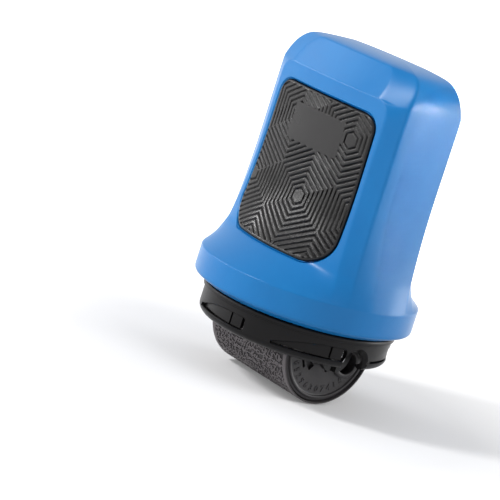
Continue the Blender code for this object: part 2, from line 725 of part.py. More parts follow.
def make_carrier():
    deck_top = DECK_BOTTOM + DECK_THICKNESS
    carrier = part_object(
        "inner_carrier",
        rod_mesh("inner_carrier", DECK_RADIUS, DECK_BOTTOM, deck_top, ROUND_SEGMENTS),
        INNER_GREY,
    )
    cover_base = DECK_BOTTOM - AXIS_HEIGHT
    cover_angle = math.degrees(math.asin((cover_base + ARM_OVERLAP) / COVER_RADIUS))
    cover_outline = arc(0, 0, COVER_RADIUS, cover_angle, 180 - cover_angle, ROUND_SEGMENTS // 2)
    add_across(carrier, "carrier_cover", cover_outline)
    arm_outline = [(ARM_TOP_HALF_DEPTH, cover_base + ARM_OVERLAP)]
    arm_outline += [(-ARM_TOP_HALF_DEPTH, cover_base + ARM_OVERLAP)]
    arm_outline += arc(0, 0, ARM_END_RADIUS, 180, 360, ROUND_SEGMENTS // 4)
    add_across(carrier, "carrier_arms", arm_outline)
    across(carrier, "carrier_drum_space", COVER_RADIUS - COVER_WALL, ARM_INNER, ROUND_SEGMENTS)
    reach = ARM_OUTER + OVERRUN
    across(carrier, "carrier_axle_holes", AXLE_RADIUS + SEAT_GAP, reach, AXLE_SEGMENTS)
    slot_mesh = box_mesh(
        "carrier_slots", reach, ARM_SLOT_HALF_WIDTH, AXIS_HEIGHT - ARM_END_RADIUS - OVERRUN, AXIS_HEIGHT
    )
    boolean(carrier, cutter_object("carrier_slots", slot_mesh))
    hole_low = DECK_BOTTOM - OVERRUN
    hole_high = deck_top + OVERRUN
    hole_mesh = rod_mesh("carrier_screw_holes", SCREW_HOLE_RADIUS, hole_low, hole_high, SCREW_SEGMENTS)
    holes = cutter_object("carrier_screw_holes", hole_mesh)
    four_places(holes)
    boolean(carrier, holes)


def add_across(obj, name, outline):
    """Adds a prism along X whose outline is (y, height above the axle)."""
    prism = cutter_object(name, plate_mesh(name, outline, ARM_OUTER))
    prism.rotation_euler = (math.radians(90), 0, math.radians(90))
    prism.location = (0, 0, AXIS_HEIGHT)
    boolean(obj, prism, "UNION")


def across(obj, name, radius, reach, segments):
    """Cuts a round space along the drum's axis."""
    rod = cutter_object(name, rod_mesh(name, radius, -reach, reach, segments))
    rod.rotation_euler = (0, math.radians(90), 0)
    rod.location = (0, 0, AXIS_HEIGHT)
    boolean(obj, rod)


# Four pan head screws


def make_screws():
    head_top = GUARD_FLANGE_BOTTOM - SEAT_GAP
    head_low = head_top - SCREW_HEAD_HEIGHT
    profile = [
        (0, SCREW_TOP),
        (SCREW_TIP_RADIUS, SCREW_TOP),
        (SCREW_SHANK_RADIUS, SCREW_TOP - SCREW_TIP_HEIGHT),
        (SCREW_SHANK_RADIUS, head_top),
        (SCREW_HEAD_RADIUS, head_top),
        (SCREW_HEAD_RADIUS, head_low + SCREW_HEAD_EDGE),
        (SCREW_HEAD_RADIUS - SCREW_HEAD_EDGE, head_low),
        (0, head_low),
    ]
    for number, (side_x, side_y) in enumerate(((-1, -1), (1, -1), (-1, 1), (1, 1)), start=1):
        name = f"chassis_screw_{number}"
        screw = part_object(name, profile_mesh(name, profile, False), STEEL)
        turn(screw, SCREW_SEGMENTS)
        screw.location = (side_x * SCREW_X, side_y * SCREW_Y, 0)


# Axle, clips and thrust washers


def along_axle(obj, parent, side=1):
    """Turns a piece modelled along Z so that it lies along X, its top to the given side."""
    obj.parent = parent
    obj.rotation_euler = (0, math.radians(90) * side, 0)
    if parent is None:
        obj.location = (0, 0, AXIS_HEIGHT)


def make_axle():
    groove_in = ARM_OUTER + SEAT_GAP
    groove_out = groove_in + CLIP_THICKNESS + SEAT_GAP
    half = [
        (0, AXLE_HALF_LENGTH),
        (AXLE_RADIUS - AXLE_EDGE, AXLE_HALF_LENGTH),
        (AXLE_RADIUS, AXLE_HALF_LENGTH - AXLE_EDGE),
        (AXLE_RADIUS, groove_out),
        (CLIP_GROOVE_RADIUS, groove_out),
        (CLIP_GROOVE_RADIUS, groove_in - SEAT_GAP / 2),
        (AXLE_RADIUS, groove_in - SEAT_GAP / 2),
    ]
    profile = half + [(radius, -height) for radius, height in reversed(half)]
    axle = part_object("axle", profile_mesh("axle", profile, False), STEEL)
    turn(axle, AXLE_SEGMENTS)
    along_axle(axle, None)


def make_clips_and_washers():
    mouth = CLIP_MOUTH_DEG / 2
    start = -90 + mouth
    end = 270 - mouth
    outline = arc(0, 0, CLIP_RADIUS, start, end, CLIP_STEPS)
    outline += reversed(arc(0, 0, CLIP_GROOVE_RADIUS + SEAT_GAP, start, end, CLIP_STEPS))
    for name, side in (("right", 1), ("left", -1)):
        clip_mesh = plate_mesh("axle_clip_" + name, outline, CLIP_THICKNESS / 2)
        clip = part_object("axle_clip_" + name, clip_mesh, STEEL)
        clip.rotation_euler = (math.radians(90), 0, math.radians(90))
        clip.location = (side * (ARM_OUTER + SEAT_GAP + CLIP_THICKNESS / 2), 0, AXIS_HEIGHT)
        top = ARM_INNER - SEAT_GAP
        low = top - WASHER_THICKNESS
        ring = [(BUSH_BORE, top), (WASHER_RADIUS, top), (WASHER_RADIUS, low), (BUSH_BORE, low)]
        washer = part_object(
            "thrust_washer_" + name, profile_mesh("thrust_washer_" + name, ring, True), ACETAL_WHITE
        )
        turn(washer, AXLE_SEGMENTS)
        along_axle(washer, None, side)


# Drum pieces, which turn on the axle


def make_core(axis):
    half = CORE_HALF_LENGTH
    bore = CORE_RADIUS - CORE_WALL
    ring = [(bore, half), (CORE_RADIUS, half), (CORE_RADIUS, -half), (bore, -half)]
    core = part_object("drum_core", profile_mesh("drum_core", ring, True), INNER_GREY)
    turn(core, ROUND_SEGMENTS)
    along_axle(core, axis)
    bm = bmesh.new()
    for row in range(CORE_HOLE_ROWS):
        x = CORE_HOLE_PITCH * (row - (CORE_HOLE_ROWS - 1) / 2)
        for column in range(CORE_HOLES_PER_ROW):
            angle = math.tau * column / CORE_HOLES_PER_ROW
            made = bmesh.ops.create_cone(
                bm,
                cap_ends=True,
                segments=CORE_HOLE_STEPS,
                radius1=CORE_HOLE_RADIUS,
                radius2=CORE_HOLE_RADIUS,
                depth=CORE_WALL + OVERRUN,
            )["verts"]
            for vert in made:
                across_z = vert.co.z + CORE_RADIUS
                along, around = vert.co.x, vert.co.y
                vert.co.x = across_z * math.cos(angle) - around * math.sin(angle)
                vert.co.y = across_z * math.sin(angle) + around * math.cos(angle)
                vert.co.z = along + x
    holes = cutter_object("core_holes", mesh_from_bmesh("core_holes", bm))
    along_axle(holes, axis)
    boolean(core, holes)


def make_felt(axis):
    half = CORE_HALF_LENGTH
    bore = FELT_RADIUS - FELT_THICKNESS
    ring = [(bore, half), (FELT_RADIUS, half), (FELT_RADIUS, -half), (bore, -half)]
    felt = part_object("ink_felt", profile_mesh("ink_felt", ring, True), FELT_GREY)
    turn(felt, ROUND_SEGMENTS)
    along_axle(felt, axis)


def make_sleeve(axis):
    """Rubber sleeve with plain bands at its ends and a slightly lower ground between them."""
    half = DRUM_HALF_LENGTH
    ground = DRUM_RADIUS - SLEEVE_RELIEF
    wide = SLEEVE_BORE + SLEEVE_BORE_STEP
    band = half - SLEEVE_BAND
    step = half - SLEEVE_STEP_DEPTH
    upper_outer = [(wide, half), (DRUM_RADIUS, half), (DRUM_RADIUS, band), (ground, band)]
    lower_outer = [(radius, -height) for radius, height in reversed(upper_outer)]
    inner = [(wide, -step), (SLEEVE_BORE, -step), (SLEEVE_BORE, step), (wide, step)]
    ring = upper_outer + lower_outer + inner
    sleeve = part_object("print_sleeve", profile_mesh("print_sleeve", ring, True), RUBBER_GREY)
    turn(sleeve, SLEEVE_SEGMENTS)
    along_axle(sleeve, axis)


def disc_profile():
    rim_inner = RIM_RADIUS - RIM_WIDTH
    face = DISC_OUTER_FACE
    return [
        (HUB_BORE, HUB_OUTER_FACE),
        (HUB_RADIUS, HUB_OUTER_FACE),
        (HUB_RADIUS, face),
        (rim_inner - RIM_SLOPE, face),
        (rim_inner, DRUM_HALF_LENGTH),
        (RIM_RADIUS, DRUM_HALF_LENGTH),
        (RIM_RADIUS + RIM_SLOPE, face),
        (DISC_RADIUS - DISC_EDGE, face),
        (DISC_RADIUS, face - DISC_EDGE),
        (DISC_RADIUS, DISC_INNER_FACE),
        (SEAL_RADIUS + SEAL_SECTION_RADIUS + SEAT_GAP, DISC_INNER_FACE),
        (SEAL_RADIUS + SEAL_SECTION_RADIUS + SEAT_GAP, DISC_INNER_FACE + SEAL_GROOVE_DEPTH),
        (SEAL_RADIUS - SEAL_SECTION_RADIUS - SEAT_GAP, DISC_INNER_FACE + SEAL_GROOVE_DEPTH),
        (SEAL_RADIUS - SEAL_SECTION_RADIUS - SEAT_GAP, DISC_INNER_FACE),
        (SPIGOT_RADIUS, DISC_INNER_FACE),
        (SPIGOT_RADIUS, HUB_INNER_FACE),
        (HUB_BORE, HUB_INNER_FACE),
    ]


def make_discs(axis):
    for name, side in (("right", 1), ("left", -1)):
        disc_mesh = profile_mesh("end_disc_" + name, disc_profile(), True)
        disc = part_object("end_disc_" + name, disc_mesh, DISC_GREY)
        turn(disc, DISC_SEGMENTS)
        along_axle(disc, axis, side)
        if side > 0:
            hole_mesh = rod_mesh(
                "port_hole", PORT_TUBE_RADIUS + SEAT_GAP, HUB_INNER_FACE - OVERRUN, ARM_INNER, PORT_SEGMENTS
            )
            hole = cutter_object("port_hole", hole_mesh)
            place_at_port(hole, axis)
            boolean(disc, hole)
        bush_top = HUB_OUTER_FACE
        ring = [(BUSH_BORE, bush_top), (BUSH_RADIUS, bush_top), (BUSH_RADIUS, HUB_INNER_FACE)]
        ring.append((BUSH_BORE, HUB_INNER_FACE))
        bush = part_object(
            "bearing_bush_" + name, profile_mesh("bearing_bush_" + name, ring, True), ACETAL_WHITE
        )
        turn(bush, AXLE_SEGMENTS)
        along_axle(bush, axis, side)
        seal_height = CORE_HALF_LENGTH + SEAT_GAP + SEAL_SECTION_RADIUS
        section = arc(SEAL_RADIUS, seal_height, SEAL_SECTION_RADIUS, 90, -270, SEAL_SECTION_STEPS)[:-1]
        seal = part_object("seal_ring_" + name, profile_mesh("seal_ring_" + name, section, True), SEAL_BLACK)
        turn(seal, SEAL_SEGMENTS)
        along_axle(seal, axis, side)


def place_at_port(obj, axis):
    """Lies along X through the filling hole, which is off the drum's axis."""
    along_axle(obj, axis)
    angle = math.radians(PORT_ANGLE_DEG)
    obj.location = (0, PORT_OFFSET * math.cos(angle), PORT_OFFSET * math.sin(angle))


def make_port(axis):
    flange_low = PORT_OUTER_END - PORT_FLANGE_THICKNESS
    ring = [
        (PORT_BORE + PORT_MOUTH_FLARE, PORT_OUTER_END),
        (PORT_FLANGE_RADIUS - PORT_MOUTH_FLARE, PORT_OUTER_END),
        (PORT_FLANGE_RADIUS, PORT_OUTER_END - PORT_MOUTH_FLARE),
        (PORT_FLANGE_RADIUS, flange_low),
        (PORT_TUBE_RADIUS, flange_low),
        (PORT_TUBE_RADIUS, PORT_INNER_END),
        (PORT_BORE - PORT_STEP, PORT_INNER_END),
        (PORT_BORE - PORT_STEP, PORT_INNER_END + PORT_STEP),
        (PORT_BORE, PORT_INNER_END + PORT_STEP),
        (PORT_BORE, PORT_OUTER_END - PORT_MOUTH_FLARE),
    ]
    port = part_object("fill_port", profile_mesh("fill_port", ring, True), DISC_GREY)
    turn(port, PORT_SEGMENTS)
    place_at_port(port, axis)
    low = PORT_INNER_END + PORT_STEP + SEAT_GAP
    top = low + VALVE_THICKNESS
    radius = PORT_BORE - SEAT_GAP
    beak = PORT_BORE - PORT_STEP - SEAT_GAP
    disc = [(0, top), (radius, top), (radius, low), (beak, low)]
    disc += [(VALVE_BEAK_HALF_WIDTH, low - VALVE_BEAK_LENGTH), (0, low - VALVE_BEAK_LENGTH)]
    valve = part_object("fill_valve", profile_mesh("fill_valve", disc, False), SEAL_BLACK)
    turn(valve, PORT_SEGMENTS)
    place_at_port(valve, axis)


clear_scene()
PARTS = new_collection("roller_stamp", False)
CUTTERS = new_collection("cutters", True)
roller_axis = bpy.data.objects.new("roller_axis", None)
PARTS.objects.link(roller_axis)
roller_axis.location = (0, 0, AXIS_HEIGHT)

make_housing()
make_pads()
make_guard()
make_carrier()
make_screws()
make_axle()
make_clips_and_washers()
make_core(roller_axis)
make_felt(roller_axis)
make_sleeve(roller_axis)
make_discs(roller_axis)
make_port(roller_axis)
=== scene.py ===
# Looks of the roller stamp: a flat blue grip that flares to a round foot, a black guard and a print drum
import math
import random

import bmesh
import bpy
import numpy as np
from mathutils import Matrix, Vector
from mathutils.bvhtree import BVHTree


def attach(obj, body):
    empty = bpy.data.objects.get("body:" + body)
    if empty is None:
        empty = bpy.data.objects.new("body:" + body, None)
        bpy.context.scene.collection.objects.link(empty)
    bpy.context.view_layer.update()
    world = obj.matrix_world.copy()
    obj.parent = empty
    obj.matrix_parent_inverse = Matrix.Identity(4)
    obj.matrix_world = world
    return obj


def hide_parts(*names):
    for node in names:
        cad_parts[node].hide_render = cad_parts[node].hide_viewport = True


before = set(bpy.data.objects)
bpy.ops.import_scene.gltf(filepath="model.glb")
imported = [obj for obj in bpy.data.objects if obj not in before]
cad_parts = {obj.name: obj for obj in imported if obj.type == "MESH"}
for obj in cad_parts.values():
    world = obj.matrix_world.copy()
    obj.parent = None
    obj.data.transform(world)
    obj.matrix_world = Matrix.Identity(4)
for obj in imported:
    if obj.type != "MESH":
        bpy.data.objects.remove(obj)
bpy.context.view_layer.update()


# Camera: a long lens in front, to the right and a little above, rolled a little to the right.
# The sensor is square in use, so the lens is given for the photograph's 500 by 500 frame.
camera_place = Vector((0.47851, -0.44284, 0.15762))
camera_back = Vector((0.7401, -0.6464, 0.1855)).normalized()
camera_right = Vector((0.5851, 0.7549, 0.2964))
camera_right = (camera_right - camera_back * camera_right.dot(camera_back)).normalized()
camera_up = camera_back.cross(camera_right)
camera_data = bpy.data.cameras.new("photo_camera")
camera_data.sensor_width = 36.0
camera_data.lens = 165.6
camera_data.clip_start = 0.01
camera = bpy.data.objects.new("photo_camera", camera_data)
bpy.context.scene.collection.objects.link(camera)
camera.matrix_world = Matrix.Translation(camera_place) @ Matrix(
    (camera_right, camera_up, camera_back)
).transposed().to_4x4()
bpy.context.scene.camera = camera
bpy.context.scene.view_settings.view_transform = "Standard"


# Studio: two soft lamps and a long strip to the left, a lamp behind, one above to the right, and a narrow
# spot on the crown. The camera, gloss and glass see white past the floor, while the room itself only
# fills the shadows. A lamp has a name, place, width, height, watts, aim and spread in degrees.
LAMPS = (
    ("high_left_softbox", (-0.22, -0.68, 0.57), 0.13, 0.13, 4.9, (0.0, 0.0, 0.07), 180.0),
    ("far_left_softbox", (-0.67, -0.33, 0.48), 0.30, 0.30, 0.9, (0.0, 0.0, 0.08), 180.0),
    ("left_strip", (-0.60, -0.66, 0.195), 0.90, 0.03, 4.2, (0.0, 0.0, 0.05), 180.0),
    ("side_softbox", (0.32, 0.71, 0.15), 0.36, 0.36, 3.3, (0.02, 0.0, 0.06), 180.0),
    ("crown_spot", (0.718, 0.578, 0.130), 0.09, 0.09, 0.026, (0.028, 0.0, 0.118), 8.0),
    ("right_softbox", (0.60, 0.12, 0.60), 0.50, 0.50, 2.2, (0.0, 0.0, 0.05), 180.0),
)
ROOM_FILL = 0.46
for lamp_name, place, width, height, power, aim, spread in LAMPS:
    lamp_data = bpy.data.lights.new(lamp_name, "AREA")
    lamp_data.shape = "RECTANGLE"
    lamp_data.size = width
    lamp_data.size_y = height
    lamp_data.energy = power
    lamp_data.spread = math.radians(spread)
    lamp = bpy.data.objects.new(lamp_name, lamp_data)
    bpy.context.scene.collection.objects.link(lamp)
    lamp.location = place
    lamp.rotation_euler = (Vector(aim) - Vector(place)).to_track_quat("-Z", "Y").to_euler()


def seen_white(tree):
    """1 for camera, glossy and transmission rays, else 0, so that white is only where it is seen."""
    ray = tree.nodes.new("ShaderNodeLightPath")
    direct = tree.nodes.new("ShaderNodeMath")
    direct.operation = "MAXIMUM"
    tree.links.new(ray.outputs["Is Camera Ray"], direct.inputs[0])
    tree.links.new(ray.outputs["Is Glossy Ray"], direct.inputs[1])
    through = tree.nodes.new("ShaderNodeMath")
    through.operation = "MAXIMUM"
    tree.links.new(direct.outputs[0], through.inputs[0])
    tree.links.new(ray.outputs["Is Transmission Ray"], through.inputs[1])
    return through.outputs[0]


room = bpy.data.worlds.new("white_room")
room.use_nodes = True
bpy.context.scene.world = room
background = room.node_tree.nodes["Background"]
background.inputs["Color"].default_value = (1.0, 1.0, 1.0, 1.0)
strength = room.node_tree.nodes.new("ShaderNodeMapRange")
strength.inputs["To Min"].default_value = ROOM_FILL
room.node_tree.links.new(seen_white(room.node_tree), strength.inputs["Value"])
room.node_tree.links.new(strength.outputs[0], background.inputs["Strength"])


# Floor: a wide pale board under the drum, which keeps the soft shadow.
# It glows more with distance, and only where it is seen, so it turns white towards the picture's edges.
FLOOR_SIDE = 6.0
FLOOR_LEVEL = -0.0003
FLOOR_LIFT = 0.10
FLOOR_FAR_LIFT = 1.0
LIFT_NEAR = 0.06
LIFT_FAR = 0.28
bpy.ops.object.select_all(action="DESELECT")
bpy.ops.mesh.primitive_plane_add(size=FLOOR_SIDE, location=(0, 0, FLOOR_LEVEL))
floor = bpy.context.object
floor.name = "floor"
floor_look = bpy.data.materials.new("pale_floor")
floor_look.use_nodes = True
shader = floor_look.node_tree.nodes["Principled BSDF"]
shader.inputs["Base Color"].default_value = (0.75, 0.75, 0.76, 1.0)
shader.inputs["Roughness"].default_value = 0.9
shader.inputs["Emission Color"].default_value = (1.0, 1.0, 1.0, 1.0)
board_place = floor_look.node_tree.nodes.new("ShaderNodeTexCoord")
reach = floor_look.node_tree.nodes.new("ShaderNodeVectorMath")
reach.operation = "LENGTH"
floor_look.node_tree.links.new(board_place.outputs["Object"], reach.inputs[0])
spread = floor_look.node_tree.nodes.new("ShaderNodeMapRange")
spread.inputs["From Min"].default_value = LIFT_NEAR
spread.inputs["From Max"].default_value = LIFT_FAR
spread.inputs["To Min"].default_value = FLOOR_LIFT
spread.inputs["To Max"].default_value = FLOOR_FAR_LIFT
floor_look.node_tree.links.new(reach.outputs["Value"], spread.inputs["Value"])
lift = floor_look.node_tree.nodes.new("ShaderNodeMath")
lift.operation = "MULTIPLY"
floor_look.node_tree.links.new(seen_white(floor_look.node_tree), lift.inputs[0])
floor_look.node_tree.links.new(spread.outputs["Result"], lift.inputs[1])
floor_look.node_tree.links.new(lift.outputs[0], shader.inputs["Emission Strength"])
floor.data.materials.append(floor_look)


# Housing: the blue moulded shell that the hand holds, from the flat grip down to the round foot.
# Its skin is drawn from a circle of points, ring by ring, up the mouth's inside, over the foot and up to
# the crown. Then it is smoothed, and the two pads' recesses are cut in.
AXIS_HEIGHT = 0.016
FOOT_RADIUS = 0.0327
FOOT_BOTTOM = 0.0239
FOOT_TOP = 0.033
LEDGE_TOP = 0.0408
TAPER_TOP = 0.068
LEDGE_FRONT = 0.315
LEDGE_SIDE = 0.47
GRIP_HALF_WIDTH = 0.0291
GRIP_HALF_DEPTH = 0.0153
PANEL_HALF_WIDTH = 0.0238
PANEL_CROWNING = 0.0021
CREASE_HALF_WIDTH = 0.0285
CREASE_HALF_DEPTH = 0.0102
CROWN_START = 0.086
PANEL_TOP = 0.0902
PANEL_CORNER = 0.0042
BEVEL_TOP = 0.0988
BEVEL_DEPTH_SHARE = 0.69
TOTAL_HEIGHT = 0.1005
CROWN_POWER = 4.5
PANEL_SHARES = (0.0, 0.2, 0.4, 0.6, 0.78, 0.9, 0.96, 1.0)
BEVEL_SHARES = (0.16, 0.48, 0.84)
SIDE_SHARES = (1.0, 0.92, 0.7, 0.36, 0.0)


def panel_edge(z):
    """Half-width of the flat panel at a height: its two top corners are rounded."""
    up = min(max(0.0, z - PANEL_TOP + PANEL_CORNER), PANEL_CORNER)
    return PANEL_HALF_WIDTH - PANEL_CORNER + math.sqrt(PANEL_CORNER**2 - up**2)


def grip_quarter(z):
    """Points from the middle of the broad face to the middle of the side."""
    half = panel_edge(z)
    points = []
    for share in PANEL_SHARES:
        x = half * share
        points.append((x, GRIP_HALF_DEPTH - PANEL_CROWNING * (x / PANEL_HALF_WIDTH) ** 2))
    edge_x, edge_y = points[-1]
    for share in BEVEL_SHARES:
        x = edge_x + (CREASE_HALF_WIDTH - edge_x) * share
        points.append((x, edge_y + (CREASE_HALF_DEPTH - edge_y) * share))
    for share in SIDE_SHARES:
        bulge = (GRIP_HALF_WIDTH - CREASE_HALF_WIDTH) * (1 - share**2)
        points.append((CREASE_HALF_WIDTH + bulge, CREASE_HALF_DEPTH * share))
    return points


def round_share(z, x):
    """0 where the section is the flat grip, 1 where it is the round foot."""
    side = min(1.0, x / CREASE_HALF_WIDTH) ** 2
    at_ledge = LEDGE_FRONT + (LEDGE_SIDE - LEDGE_FRONT) * side
    if z <= FOOT_TOP:
        return 1.0
    if z <= LEDGE_TOP:
        return 1.0 - (1.0 - at_ledge) * (z - FOOT_TOP) / (LEDGE_TOP - FOOT_TOP)
    return at_ledge * max(0.0, (TAPER_TOP - z) / (TAPER_TOP - LEDGE_TOP)) ** 2


def crown_shares(z):
    """Width and depth left of the grip's section at a height of the crown."""
    up = max(0.0, z - CROWN_START) / (TOTAL_HEIGHT - CROWN_START)
    width = (1 - min(up, 1.0) ** CROWN_POWER) ** (1 / CROWN_POWER)
    along = min(1.0, max(0.0, z - PANEL_TOP) / (BEVEL_TOP - PANEL_TOP))
    depth = 1 - (1 - BEVEL_DEPTH_SHARE) * along
    if z > BEVEL_TOP:
        up = min(1.0, (z - BEVEL_TOP) / (TOTAL_HEIGHT - BEVEL_TOP))
        depth = BEVEL_DEPTH_SHARE * math.sqrt(1 - up**2)
    return width, depth


def skin_ring(z, foot_radius=FOOT_RADIUS, level=None):
    """Points round the housing at a height, mirrored from one quarter.

    On the round foot each stands out a little: the smoothing draws a point a third of the way in to
    the line between its neighbours, and this makes up for it.
    """
    width, depth = crown_shares(z)
    section = grip_quarter(z)
    last = len(section) - 1
    quarter = []
    for number, (x, y) in enumerate(section):
        roundness = round_share(z, x)
        before, after = section[max(number - 1, 0)], section[min(number + 1, last)]
        spacing = math.atan2(before[1], before[0]) - math.atan2(after[1], after[0])
        if 0 < number < last:
            spacing /= 2
        drawn_in = (1 - math.cos(spacing)) / 3
        reach = math.hypot(x * width, y * depth)
        direction = math.atan2(y * depth, x * width)
        direction += (math.atan2(y, x) - direction) * roundness
        reach += (foot_radius * (1 + drawn_in) - reach) * roundness
        quarter.append((reach * math.cos(direction), reach * math.sin(direction)))
    half = quarter + [(x, -y) for x, y in reversed(quarter[:-1])]
    whole = half + [(-x, y) for x, y in reversed(half[1:-1])]
    return [Vector((x, -y, z if level is None else level)) for x, y in whole]


def new_piece(name, piece):
    """Names a fresh primitive's object and mesh alike."""
    piece.name = name
    piece.data.name = name
    return piece


MERGE_DISTANCE = 0.000002


def drawn_through(name, rings, close_tip):
    """Skin drawn from a circle of points through rings, by extruding and placing each ring in turn."""
    bpy.ops.object.select_all(action="DESELECT")
    bpy.ops.mesh.primitive_circle_add(vertices=len(rings[0]), radius=FOOT_RADIUS)
    piece = new_piece(name, bpy.context.object)
    bpy.ops.object.mode_set(mode="EDIT")
    shape = bmesh.from_edit_mesh(piece.data)
    shape.verts.layers.int.new("place")
    bmesh.update_edit_mesh(piece.data)
    for number, ring in enumerate(rings):
        if number:
            bpy.ops.mesh.extrude_region_move()
        shape = bmesh.from_edit_mesh(piece.data)
        place = shape.verts.layers.int["place"]
        for index, vert in enumerate(v for v in shape.verts if v.select):
            if number == 0:
                vert[place] = index
            vert.co = ring[vert[place]]
        bmesh.update_edit_mesh(piece.data)
        if number == 0:
            bpy.ops.mesh.select_all(action="SELECT")
            if close_tip:
                bpy.ops.mesh.edge_face_add()
                bpy.ops.mesh.select_all(action="SELECT")
                bpy.ops.mesh.select_mode(type="EDGE")
                bpy.ops.mesh.select_mode(type="VERT")
    bpy.ops.mesh.select_all(action="SELECT")
    bpy.ops.mesh.remove_doubles(threshold=MERGE_DISTANCE)
    bpy.ops.mesh.normals_make_consistent(inside=False)
    bpy.ops.object.mode_set(mode="OBJECT")
    return piece


def finish_with(piece, kind, **settings):
    """Adds a modifier with its settings and applies it."""
    modifier = piece.modifiers.new(kind.lower(), kind)
    for key, value in settings.items():
        setattr(modifier, key, value)
    bpy.ops.object.select_all(action="DESELECT")
    bpy.context.view_layer.objects.active = piece
    piece.select_set(True)
    bpy.ops.object.modifier_apply(modifier=modifier.name)


MOUTH_RADIUS = 0.0272
MOUTH_TOP = 0.0345
MOUTH_RINGS = (
    (0.002, MOUTH_TOP), (0.0262, MOUTH_TOP), (MOUTH_RADIUS, MOUTH_TOP), (MOUTH_RADIUS, 0.0335),
    (MOUTH_RADIUS, 0.0243), (MOUTH_RADIUS, FOOT_BOTTOM), (0.0274, FOOT_BOTTOM), (0.0287, FOOT_BOTTOM),
    (0.0290, 0.02395), (0.0293, 0.0241), (0.0319, 0.0253), (0.03225, 0.0255), (0.0326, 0.0259),
    (FOOT_RADIUS, 0.0263), (FOOT_RADIUS, 0.0270),
)
SKIN_LEVELS = (
    0.0295, 0.0317, 0.0327, FOOT_TOP, 0.0336, 0.0352, 0.0375, 0.0396, LEDGE_TOP, 0.0424, 0.045, 0.0485,
    0.0525, 0.0575, 0.063, TAPER_TOP, 0.074, 0.080, 0.0845, 0.0866, 0.0881, 0.0892, 0.0898, PANEL_TOP,
    0.0907, 0.0918, 0.0938, 0.0960, 0.0978, 0.0985, BEVEL_TOP, 0.0991, 0.0996, 0.1001, 0.10035, 0.10045,
)
CROWN_LINE_SHARE = 0.92
skin_rings = [skin_ring(FOOT_BOTTOM, radius, level) for radius, level in MOUTH_RINGS]
skin_rings += [skin_ring(z) for z in SKIN_LEVELS]
skin_rings.append([Vector((p.x * CROWN_LINE_SHARE, 0, TOTAL_HEIGHT)) for p in skin_rings[-1]])
housing = drawn_through("housing_skin", skin_rings, True)
finish_with(housing, "SUBSURF", levels=2, render_levels=2)
skin_tree = BVHTree.FromObject(housing, bpy.context.evaluated_depsgraph_get())

PAD_BOTTOM = 0.0406
PAD_TOP = 0.085
PAD_HALF_WIDTH = 0.0222
PAD_TOP_HALF_WIDTH = 0.0213
PAD_LOWER_ROUND = 0.0085
PAD_UPPER_ROUND = 0.0045
PAD_GAP = 0.0003
RECESS_DEPTH = 0.0023
RECESS_GRID = (60, 72)
RECESS_CROWDING = 0.3
RECESS_REACH = 0.012
RIM_STEPS = 72
RIM_CROSS_STEPS = 24
RIM_SECTION = ((0.0, 0.00045), (0.0013, -0.00085), (0.0, -0.00085))
RAY_START = -0.1


def pad_half_width(z, gap):
    """Half-width of the pad's outline at a height, with its four rounded corners."""
    low, high = PAD_BOTTOM - gap, PAD_TOP + gap
    share = (z - low) / (high - low)
    half = PAD_HALF_WIDTH + (PAD_TOP_HALF_WIDTH - PAD_HALF_WIDTH) * share + gap
    for corner, up in ((PAD_LOWER_ROUND + gap, z - low), (PAD_UPPER_ROUND + gap, high - z)):
        if up < corner:
            half -= corner - math.sqrt(max(0.0, corner**2 - (corner - up) ** 2))
    return half


def laid_on_face(name, gap, grid, crowding, lay):
    """Grid in the pad's outline, each point laid on the front of the skin by its own rule.

    Crowding is the share in which the rows stand closer together towards the two ends.
    """
    columns, rows = grid
    bpy.ops.object.select_all(action="DESELECT")
    bpy.ops.mesh.primitive_grid_add(x_subdivisions=columns, y_subdivisions=rows, size=2)
    piece = new_piece(name, bpy.context.object)
    points = np.zeros(len(piece.data.vertices) * 3)
    piece.data.vertices.foreach_get("co", points)
    points = points.reshape(-1, 3)
    low, high = PAD_BOTTOM - gap, PAD_TOP + gap
    for point in points:
        across, along = point[0], (point[1] + 1) / 2
        along = (1 - math.cos(math.pi * along)) / 2 * crowding + along * (1 - crowding)
        z = low + (high - low) * along
        point[:] = lay(pad_half_width(z, gap) * across, z)
    piece.data.vertices.foreach_set("co", points.ravel())
    piece.data.update()
    return piece


def on_skin(x, z):
    """Point of the housing's front at a place across and up, and the skin's normal there."""
    hit = skin_tree.ray_cast(Vector((x, RAY_START, z)), Vector((0, 1, 0)))
    return hit[0], hit[1]


def recess_floor(x, z):
    """Point of the recess's floor, straight behind the skin."""
    place = on_skin(x, z)[0]
    return place + Vector((0, RECESS_DEPTH, 0))


def pad_outline(gap):
    """Points round the pad's outline at a gap: two half-widths for each height, evenly spread."""
    low, high = PAD_BOTTOM - gap, PAD_TOP + gap
    right = []
    for step in range(RIM_STEPS + 1):
        z = low + (high - low) * (1 - math.cos(math.pi * step / RIM_STEPS)) / 2
        right.append((pad_half_width(z, gap), z))
    shares = [1 - 2 * step / RIM_CROSS_STEPS for step in range(1, RIM_CROSS_STEPS)]
    across = [(right[-1][0] * share, high) for share in shares]
    under = [(-right[0][0] * share, low) for share in shares]
    return right + across + [(-x, z) for x, z in reversed(right)] + under


recess = laid_on_face("pad_recess", PAD_GAP, RECESS_GRID, RECESS_CROWDING, recess_floor)
bpy.ops.object.mode_set(mode="EDIT")
bpy.ops.mesh.select_all(action="SELECT")
bpy.ops.mesh.extrude_region_move(TRANSFORM_OT_translate={"value": (0, -RECESS_REACH, 0)})
bpy.ops.mesh.select_all(action="SELECT")
bpy.ops.mesh.normals_make_consistent(inside=False)
bpy.ops.object.mode_set(mode="OBJECT")

rim_rings = []
for outward, depth in RIM_SECTION + RIM_SECTION[:1]:
    ring = []
    for x, z in pad_outline(PAD_GAP + outward):
        place, normal = on_skin(x, z)
        ring.append(place - normal * depth)
    rim_rings.append(ring)
recess_rim = drawn_through("recess_rim", rim_rings, False)

